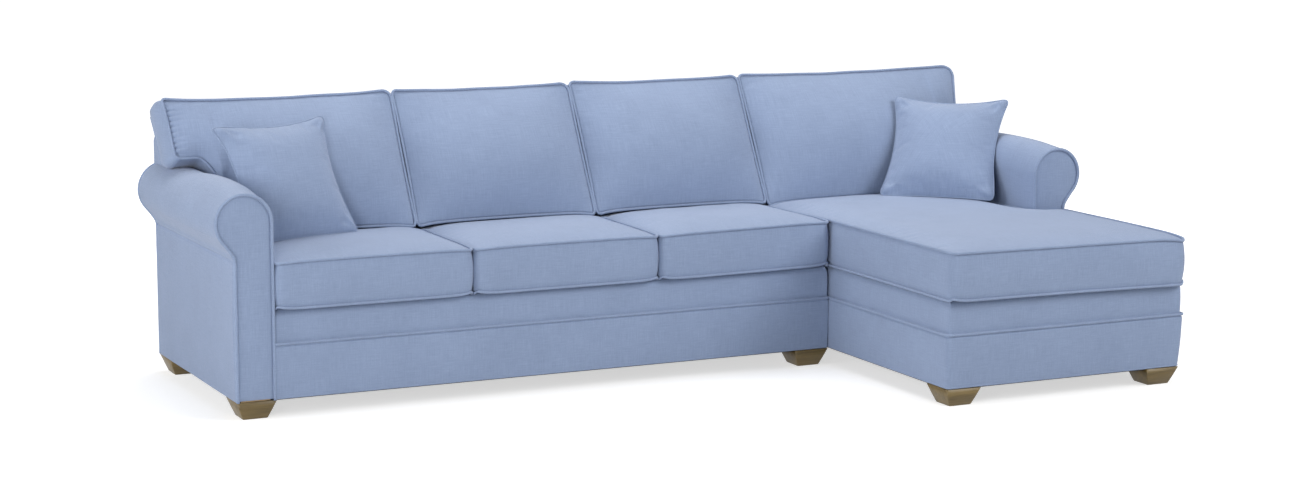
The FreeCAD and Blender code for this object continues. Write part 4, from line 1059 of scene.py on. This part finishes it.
def rolled_arm(side, body, outer_x, inward, front_y, seed):
    """Sleeve, front panel, rear panel and welts of one arm."""
    outline, throat_z = arm_outline(0)
    rear_y = DEPTH - CLOTH
    rows = [front_y + y for y in (0.0015, 0.004, 0.008, 0.011, 0.0135, 0.016, 0.020, 0.028)]
    rows += list(np.linspace(front_y + 0.040, rear_y - 0.020, int((rear_y - front_y) / 0.016)))
    rows += [rear_y - 0.010, rear_y - 0.004, rear_y - 0.0005]
    sleeve = [p for p in outline if p[1] > BASE_BOTTOM + ON_EDGE or p[0] in (0.0, ARM_WIDTH)]
    normals = outward_normals(np.array(sleeve))
    normals[0], normals[-1] = (1, 0), (-1, 0)
    verts = []
    for y in rows:
        from_front, from_rear = y - front_y, rear_y - y
        edge = min(from_front, from_rear)
        along = from_front / (rear_y - front_y)
        bow = ARM_BOW * math.sin(math.pi * min(1.0, along / ARM_BOW_END)) ** 0.9
        for k, ((x, z), (nx, nz)) in enumerate(zip(sleeve, normals)):
            shift = 0.0014 * wave(y * 3.1, z * 5 + x * 7, seed) * min(1, edge / 0.05)
            shift -= 0.0045 * math.exp(-edge / 0.0050)
            shift += 0.0011 * wave(k * 0.42, seed * 2) * math.exp(-from_front / 0.030) * min(1, edge / 0.004)
            if z > ROLL_CENTRE_Z - 0.05:
                shift += roll_top(nx, nz) * (ARM_FULLNESS * eased(along / 0.15) * min(1, from_rear / 0.05) + bow)
                shift += 0.5 * ARM_BOW * max(0.0, -nx) * math.sin(math.pi * along)
            if x < 0.004 and z < throat_z + 0.004:
                below = (SIDE_SEAM_Z - z) / (SIDE_SEAM_Z - BASE_BOTTOM)
                shift -= 0.0052 * math.exp(-((z - SIDE_SEAM_Z) / 0.0032) ** 2)
                shift += 0.0026 * math.exp(-((z - SIDE_SEAM_Z - 0.009) / 0.006) ** 2)
                if below > 0:
                    shift += 0.0030 * math.sin(math.pi * min(1, below))
                    shift -= 0.0024 * math.exp(-((from_front - 0.0135) / 0.0025) ** 2)
            if x > ARM_WIDTH - 0.002 and z < BASE_TOP + 0.05:
                shift = min(shift, 0)
            verts.append(place(outer_x + inward * (x + nx * shift), y, z + nz * shift))
    faces = strip_faces(len(rows), len(sleeve))
    arm = new_piece(side + "_arm_sleeve", verts, faces if inward < 0 else reverse(faces), body)
    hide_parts(side + "_arm_cover", side + "_arm_padding")
    ring = arm_outline(FACING_INSET)[0][::-inward]
    centre = (ARM_WIDTH / 2, throat_z - 0.012)

    def on_front(p, h):
        return place(outer_x + inward * p[0], front_y + 0.0052 - h, p[1])

    def on_rear(p, h):
        return place(outer_x + inward * p[0], rear_y - 0.0015 + h * 0.3, p[1])

    front = star_panel(side + "_arm_front", ring[::-1], centre, on_front, FACING_CROWN, ARM_PUFF, body, seed)
    rear = star_panel(side + "_arm_rear", ring, centre, on_rear, FACING_CROWN, ARM_PUFF, body, seed + 1)
    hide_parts(side + "_arm_facings")
    outs = [Vector((inward * nx, 0, nz)) for nx, nz in normals]
    for which, y, up in (("front", front_y + 0.0020, -1), ("rear", rear_y - 0.003, 1)):
        points = [place(outer_x + inward * (x - nx * 0.0028), y, z - nz * 0.0028)
                  for (x, z), (nx, nz) in zip(sleeve, normals)]
        tube(side + "_arm_welt_" + which, points, outs, Vector((0, up, 0)), ARM_WELT, body, False)


# Bands of the base

def rounded_path(corners, step=0.014):
    """An open path in the plan, through (x, y, radius) corners that are rounded."""
    spots = [Vector(corner[:2]) for corner in corners]
    path = [spots[0]]
    for before, here, after, corner in zip(spots, spots[1:], spots[2:], corners[1:]):
        back, ahead, radius = (before - here).normalized(), (after - here).normalized(), corner[2]
        centre = here + (back + ahead) * radius
        path += [centre - ahead * (radius * math.cos(angle)) - back * (radius * math.sin(angle))
                 for angle in QUARTER_TURN]
    path.append(spots[-1])
    fine = []
    for a, b in zip(path, path[1:]):
        count = max(1, math.ceil((b - a).length / step))
        fine += [a.lerp(b, k / count) for k in range(count)]
    return fine + [path[-1]]


def path_normals(path):
    """Normals on the right-hand side of a path."""
    along = [(after - before).normalized() for before, after in zip(path[:1] + path, path[1:] + path[-1:])]
    return [Vector((way.y, -way.x)) for way in along]


def path_length(path):
    return sum(math.dist(a, b) for a, b in zip(path, path[1:]))


def side_flare(x, y, z):
    """How far the padded right side of the chaise stands out, most at its front corner and higher up."""
    forward = limited((-RIGHT_ARM_REACH - y) / 0.30)
    up = limited((z - BASE_BOTTOM) / (BAND_SPLIT - BASE_BOTTOM))
    return eased((x - RIGHT_X + 0.16) / 0.16) * forward * (0.005 + 0.011 * up)


def band(name, body, corners, profile, seed):
    """A strip of cloth with a profile (outward, height) along a path seen from above, outside on its right."""
    path = rounded_path(corners)
    low, high = profile[0][1], profile[-1][1]
    verts = []
    travelled = 0.0
    for before, p, n in zip(path[:1] + path, path, path_normals(path)):
        travelled += (p - before).length
        for out, z in profile:
            inside = math.sin(math.pi * limited((z - low) / (high - low)))
            out += 0.0012 * wave(travelled * 3.2, z * 9, seed) * inside
            verts.append(place(p.x + n.x * out + side_flare(p.x, p.y, z), p.y + n.y * out, z))
    strip = new_piece(name, verts, strip_faces(len(path), len(profile), flip=True), body)
    return strip, (path_length(profile), travelled)


def band_welt(name, body, corners, z, out, radius):
    """A welt along a band."""
    path = rounded_path(corners, 0.008)
    normals = path_normals(path)
    points = [place(p.x + n.x * out + side_flare(p.x, p.y, z), p.y + n.y * out, z) for p, n in zip(path, normals)]
    return tube(name, points, [n.to_3d() for n in normals], Vector((0, 0, 1)), radius, body, False)


def lower_profile():
    """The lower band, from its hem underneath up to the rail welt."""
    height = BAND_SPLIT - BASE_BOTTOM
    profile = [(-0.016, BASE_BOTTOM + 0.001), (-0.006, BASE_BOTTOM + 0.0004), (-0.0038, BASE_BOTTOM + 0.002)]
    profile += [(-0.0030 * (1 - t) + 0.0018 * math.sin(math.pi * t), BASE_BOTTOM + height * t)
                for t in np.linspace(0.03, 0.91, 15)]
    profile += [(-0.0034 * math.exp(-((below - 0.0064) / 0.0022) ** 2), BAND_SPLIT - below)
                for below in (0.011, 0.009, 0.0075, 0.0062, 0.005, 0.0036)]
    return profile + [(-0.0015, BAND_SPLIT - 0.001), (-0.005, BAND_SPLIT - 0.0005)]


def upper_profile():
    """The upper band, from the rail welt up over its rounded top edge."""
    straight = BASE_TOP - UPPER_BAND_RADIUS - BAND_SPLIT
    profile = [(-UPPER_BAND_RECESS + 0.003, BAND_SPLIT + 0.001), (-UPPER_BAND_RECESS, BAND_SPLIT + 0.006)]
    profile += [(-UPPER_BAND_RECESS + 0.0015 * math.sin(math.pi * t), BAND_SPLIT + straight * t)
                for t in np.linspace(0.15, 1, 8)]
    profile += [(-UPPER_BAND_RECESS - UPPER_BAND_RADIUS * (1 - math.cos(angle)),
                 BAND_SPLIT + straight + UPPER_BAND_RADIUS * math.sin(angle)) for angle in QUARTER_TURN[1:]]
    return profile + [(-UPPER_BAND_TURN, BASE_TOP)]


def make_bands():
    """Lower and upper bands with the rail welt and the hem of both sections."""
    end_x, start_x = SOFA_END_X - 0.0002, CHAISE_X + 0.0002
    tight = 0.004
    past = end_x + UPPER_BAND_RECESS
    rear = DEPTH - CLOTH
    chaise_run = [(start_x, rear, 0), (start_x, -CHAISE_REACH, BAND_CORNER_RADIUS),
                  (RIGHT_X, -CHAISE_REACH, BAND_CORNER_RADIUS), (RIGHT_X, -RIGHT_ARM_REACH, 0)]
    lower_run = [(ARM_WIDTH, 0, 0), (end_x, 0, tight), (end_x, rear, 0)]
    upper_run = [(ARM_WIDTH, 0, 0), (past, 0, UPPER_BAND_RECESS + tight), (past, rear, 0)]
    runs = (("sofa", lower_run, upper_run), ("chaise", chaise_run, chaise_run))
    for number, (section, lower_run, upper_run) in enumerate(runs):
        body = section + "_section"
        lower, lower_size = band(section + "_lower_band_dressed", body, lower_run, lower_profile(), 40.0 + number)
        upper, upper_size = band(section + "_upper_band_dressed", body, upper_run, upper_profile(), 50.0 + number)
        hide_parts(section + "_lower_band")
        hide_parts(section + "_upper_band")
        rail = band_welt(section + "_rail_welt", body, lower_run, BAND_SPLIT, -0.0010, WELT_RADIUS)
        hem = band_welt(section + "_hem_welt", body, lower_run, BASE_BOTTOM + 0.0045, -0.0040, HEM_RADIUS)


# Back

def back_profile():
    """The back's cloth (depth, height): over the top, round its edge and down to the hem."""
    front_top = back_plane_y(BACK_TOP) + 0.0004 + BACK_SLAB
    points = [(front_top - 0.0065, BACK_TOP - 0.0042), (front_top - 0.003, BACK_TOP - 0.0024),
              (front_top + 0.003, BACK_TOP - 0.0005)]
    points += [(y, BACK_TOP) for y in np.linspace(front_top + 0.008, DEPTH - BACK_EDGE_RADIUS, 6)]
    points += [(DEPTH - BACK_EDGE_RADIUS * (1 - math.sin(angle)), BACK_TOP - BACK_EDGE_RADIUS * (1 - math.cos(angle)))
               for angle in QUARTER_TURN[1:]]
    points += [(DEPTH, z) for z in np.linspace(BACK_TOP - BACK_EDGE_RADIUS - 0.01, BASE_BOTTOM + 0.004, 48)]
    return points + [(DEPTH - 0.0015, BASE_BOTTOM + 0.0008), (DEPTH - 0.006, BASE_BOTTOM + 0.0002)]


def cheek(name, section, low, front_gap, x, end, crown, seed):
    """A flat panel of cloth that closes one end of the back, from the height low up to the top."""
    top, rear_y = BACK_TOP - 0.0015, DEPTH - 0.0015
    outline = [(back_plane_y(max(low, DECK_TOP)) + front_gap, low), (rear_y, low),
               (rear_y, BACK_TOP - BACK_EDGE_RADIUS)]
    outline += [(rear_y - BACK_EDGE_RADIUS * (1 - math.cos(angle)), top - BACK_EDGE_RADIUS * (1 - math.sin(angle)))
                for angle in QUARTER_TURN[1:-1]]
    outline += [(DEPTH - BACK_EDGE_RADIUS, top), (back_plane_y(BACK_TOP) + front_gap, top)]
    fine = []
    for a, b in zip(outline, outline[1:] + outline[:1]):
        steps = max(1, math.ceil(math.dist(a, b) / 0.01))
        fine += [(a[0] + (b[0] - a[0]) * k / steps, a[1] + (b[1] - a[1]) * k / steps) for k in range(steps)]
    middle_z = (low + top) / 2
    centre = (max((back_plane_y(middle_z) + front_gap + rear_y) / 2, DEPTH - 0.09), middle_z)
    piece = star_panel(section + name, fine[::end], centre, lambda p, h: place(x + end * h, p[0], p[1]), crown, 0.01,
                       section + "_section", seed)


def back_cloth(section, x0, x1, outer_end, seed):
    """The outside back and its top, with the cheeks that close its ends over the arm and at the joint."""
    body = section + "_section"
    profile = back_profile()
    rows = [x0, x0 + 0.002, x0 + 0.006, *np.linspace(x0 + 0.014, x1 - 0.014, int((x1 - x0) / 0.02)),
            x1 - 0.006, x1 - 0.002, x1]
    verts = []
    for x in rows:
        edge = min(x - x0, x1 - x)
        drop = -0.002 * math.exp(-edge / 0.003)
        for y, z in profile:
            ease = min(1, edge / 0.03) * 0.0009 * wave(x * 2.6, z * 4.0, seed)
            if z < BACK_TOP - 0.03:
                verts.append(place(x, y + min(0.0, drop + ease), z))
            else:
                verts.append(place(x, y, z + drop))
    cover = new_piece(section + "_back_dressed", verts, strip_faces(len(rows), len(profile), flip=True), body)
    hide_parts(section + "_back_cover")
    outer_x, joint_x, welt_x = x0 + 0.0012, x1 - 0.0012, x0 + 0.002
    if outer_end > 0:
        outer_x, joint_x, welt_x = joint_x, outer_x, x1 - 0.002
    cheek("_back_cheek", section, ROLL_TOP - 0.03, 0.002, outer_x, outer_end, 0.002, seed)
    cheek("_joint_cheek", section, BASE_TOP - 0.005, 0.0245, joint_x, -outer_end, 0.0008, seed + 5)
    path_length(profile)
    edge = [p for p in profile if p[1] < BACK_TOP - 0.0001 or p[0] > DEPTH - BACK_EDGE_RADIUS - 0.001][2:-2]
    normals = -outward_normals(np.array(edge))
    normals[0], normals[-1] = normals[1], normals[-2]
    points = [place(welt_x, y - 0.0035, z) for y, z in edge]
    outs = [Vector((0, 1, 0)) if z < BACK_TOP - BACK_EDGE_RADIUS else Vector((0, *n)).normalized()
            for (_, z), n in zip(edge, normals)]
    tube(section + "_back_welt", points, outs, Vector((1, 0, 0)), BACK_WELT, body, False)


def inside_back(section, x0, x1, wing_x0, wing_x1):
    """The padded panel that the back cushions lean on, with its wing over the arm."""
    bottom = DECK_TOP + 0.0014
    length = (BACK_TOP - bottom) / math.cos(LEAN)
    wing = (ROLL_TOP + 0.002 - bottom) / math.cos(LEAN)
    panel = panel_grid([(x0, x1, 0, length), (wing_x0, wing_x1, wing, length)],
                       lambda x, y: 0.012 if y > length - 0.01 else 0.004, COARSE_STEP)
    inner_x, side = (x0, -1) if wing_x0 < x0 else (x1, 1)
    drop_ear(panel, bottom, 1.0, length, wing, inner_x, side)
    foot = place(0, back_plane_y(bottom) + 0.0014, bottom)
    lean = [foot + Vector((x, 0, 0)) + UP_BACK * s for x, s in panel["points"]]
    upper = [point - FORWARD * dip for point, dip in zip(lean, 0.001 * swell(panel, 0.03))]
    slab(section + "_inside_back_dressed", section + "_inside_back", section, panel, upper,
         [point - FORWARD * 0.0195 for point in lean])


def deck_pad(section, blocks):
    """The thin pad on the seat springs, under the loose cushions."""
    panel = panel_grid(blocks, lambda x, y: 0.004, COARSE_STEP)
    upper = [place(x, y, DECK_TOP - 0.0018 + h) for (x, y), h in zip(panel["points"], swell(panel, 0.02) * 0.0015)]
    slab(section + "_deck_dressed", section + "_deck_pad", section, panel, upper,
         [place(x, y, DECK_BOTTOM + 0.0004) for x, y in panel["points"]])


# Feet and underside

def tapered_feet(section, centres):
    """Square wooden feet that taper to the floor, with eased edges, on one section."""
    levels = [(0.0, FOOT_BOTTOM - 0.004), (0.002, FOOT_BOTTOM), (BASE_BOTTOM * 0.5, (FOOT_BOTTOM + FOOT_TOP) / 2),
              (BASE_BOTTOM - 0.0005, FOOT_TOP - 0.0005)]
    count = 16
    foot = strip_faces(len(levels), count, ring=True)
    foot += [tuple(reversed(range(count))), tuple(range((len(levels) - 1) * count, len(levels) * count))]
    verts, faces = [], []
    for cx, cy in centres:
        faces += [tuple(len(verts) + k for k in face) for face in foot]
        for z, side in levels:
            to_edge = side / 2 - FOOT_EDGE
            for turn, (sx, sy) in enumerate(((1, -1), (1, 1), (-1, 1), (-1, -1))):
                for angle in np.radians(90 * turn - 90 + 30 * np.arange(4)):
                    verts.append(place(cx + sx * to_edge + FOOT_EDGE * math.cos(angle),
                                       cy + sy * to_edge + FOOT_EDGE * math.sin(angle), z))
    feet = new_piece(section + "_feet_dressed", verts, faces, section + "_section", FOOT_WOOD)
    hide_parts(section + "_feet")


def make_feet():
    """Four feet under each section."""
    half = FOOT_TOP / 2
    tapered_feet("sofa", [(x, y) for x in (half, SOFA_END_X - half) for y in (half, DEPTH - half)])
    tapered_feet("chaise", [(x, y) for x in (CHAISE_X + half, RIGHT_X - half)
                            for y in (half - CHAISE_REACH, DEPTH - half)])


def dust_cover(section, x0, x1, y0, y1):
    """The thin lining under the frame, cut out round the four corner feet, with a slight sag."""
    edge, cut = 0.006, FOOT_TOP + 0.001
    blocks = [(x0 + cut, x1 - cut, y0 + edge, y1 - edge), (x0 + edge, x0 + cut, y0 + cut, y1 - cut),
              (x1 - cut, x1 - edge, y0 + cut, y1 - cut)]
    panel = panel_grid(blocks, lambda x, y: 0.003, 0.04)
    verts = [place(x, y, BASE_BOTTOM - 0.0008 - drop)
             for (x, y), drop in zip(panel["points"], 0.0030 * swell(panel, 0.12))]
    piece = new_piece(section + "_dust_cover_dressed", verts, reverse(panel["quads"]), section + "_section", LINING)
    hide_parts(section + "_dust_cover")


# Nodes kept from the frame

def dress_kept_nodes():
    """Gives every node of the frame the material of its slot."""
    finishes = {
        "cloth": CLOTH_MATERIAL,
        "frame_wood": make_wood("frame_wood", (0.44, 0.29, 0.15), (0.66, 0.49, 0.30), 0.7),
        "foot_wood": FOOT_WOOD,
        "spring_steel": make_metal("spring_steel", (0.36, 0.36, 0.38), 0.42),
        "bracket_steel": make_metal("bracket_steel", (0.55, 0.56, 0.58), 0.34),
        "foam": make_fibre("foam", (0.70, 0.66, 0.50), (0.80, 0.76, 0.60), 420.0, 0.95, 0.0006),
        "padding": make_fibre("padding", (0.68, 0.66, 0.61), (0.80, 0.79, 0.75), 160.0, 0.95, 0.0010),
        "lining": LINING,
    }
    for part in frame["record"]["subparts"]:
        node = frame["nodes"][part["node"]]
        node.data.materials.clear()
        node.data.materials.append(finishes[part["material_slot"]])


def press_at_joint():
    """Presses the soft pieces that meet between the sections flat on that plane, so that they part cleanly."""
    joint = place(JOINT_X, SEAT_FRONT, 0)
    for piece in bpy.context.scene.objects:
        if piece.type != "MESH" or not piece.name.endswith(("_dressed", "_welt", "_welt_front", "_welt_rear")):
            continue
        points = read_points(piece.data)
        side = -1 if points[:, 0].mean() < joint.x else 1
        slack = 0.012 * np.clip((joint.y - points[:, 1]) / 0.03, 0, 1)
        if "cushion" in piece.name:  # the seat cushion beside the chaise slides along it
            slack = 0
        crossed = np.clip(HALF_GAP + 0.0001 - slack - side * (points[:, 0] - joint.x), 0, None)
        if crossed.max() > 0:
            points[:, 0] += side * crossed
            write_points(piece.data, points)


make_camera()
make_world()
make_area_lamp("overhead", (0.2, -0.6, 5.0), (0.2, 0.0, 0.3), 4.4, 30)
make_area_lamp("above_back", (0.2, 1.6, 4.2), (0.2, 0.0, 0.6), 3.4, 124)
make_area_lamp("high_right", (3.6, -4.6, 4.2), (0.0, 0.0, 0.4), 3.4, 255)
make_area_lamp("front", (-2.6, -8.5, 2.6), (0.0, 0.0, 0.5), 4.0, 22)
make_area_lamp("left", (-6.0, -0.4, 2.2), (-1.0, 0.0, 0.5), 3.0, 158)
make_area_lamp("low_left", (-4.5, -5.0, 1.2), (-1.0, 0.0, 0.4), 2.0, 148)
make_floor()
bpy.context.scene.view_settings.view_transform = "Standard"

CLOTH_MATERIAL = make_cloth()
FOOT_WOOD = make_wood("foot_wood", (0.074, 0.049, 0.014), (0.205, 0.142, 0.048), 0.42)
LINING = make_fibre("lining", (0.012, 0.012, 0.014), (0.030, 0.030, 0.034), 900.0, 0.9, 0.0003)
dress_kept_nodes()
make_seat_cushions()
for cushion_number in range(1, SEAT_COUNT + 2):
    back_cushion(cushion_number)
throw_pillow("left_pillow", LEFT_PILLOW, 0.0, 1, 31.0, (-0.018, -0.012))
throw_pillow("right_pillow", RIGHT_PILLOW, RIGHT_X, -1, 33.0)
rolled_arm("left", "sofa_section", 0.0, 1, 0.0, 60.0)
rolled_arm("right", "chaise_section", RIGHT_X, -1, -RIGHT_ARM_REACH, 63.0)
make_bands()
back_cloth("sofa", 0.0, SOFA_END_X, -1, 70.0)
back_cloth("chaise", CHAISE_X, RIGHT_X, 1, 73.0)
inside_back("sofa", ARM_WIDTH, SOFA_END_X - 0.001, CLOTH, ARM_WIDTH)
inside_back("chaise", CHAISE_X + 0.001, RIGHT_ARM_X, RIGHT_ARM_X, RIGHT_X - CLOTH)
deck_pad("sofa", [(ARM_WIDTH, SOFA_END_X - 0.004, UPPER_BAND_TURN, SEAT_REAR - 0.012)])
deck_pad("chaise", [(CHAISE_X + UPPER_BAND_TURN, RIGHT_ARM_X, -RIGHT_ARM_REACH, SEAT_REAR - 0.012),
                    (CHAISE_X + UPPER_BAND_TURN, RIGHT_X - UPPER_BAND_TURN,
                     -CHAISE_REACH + UPPER_BAND_TURN, -RIGHT_ARM_REACH)])
make_feet()
dust_cover("sofa", 0.0, SOFA_END_X, 0.0, DEPTH)
dust_cover("chaise", CHAISE_X, RIGHT_X, -CHAISE_REACH, DEPTH)
press_at_joint()
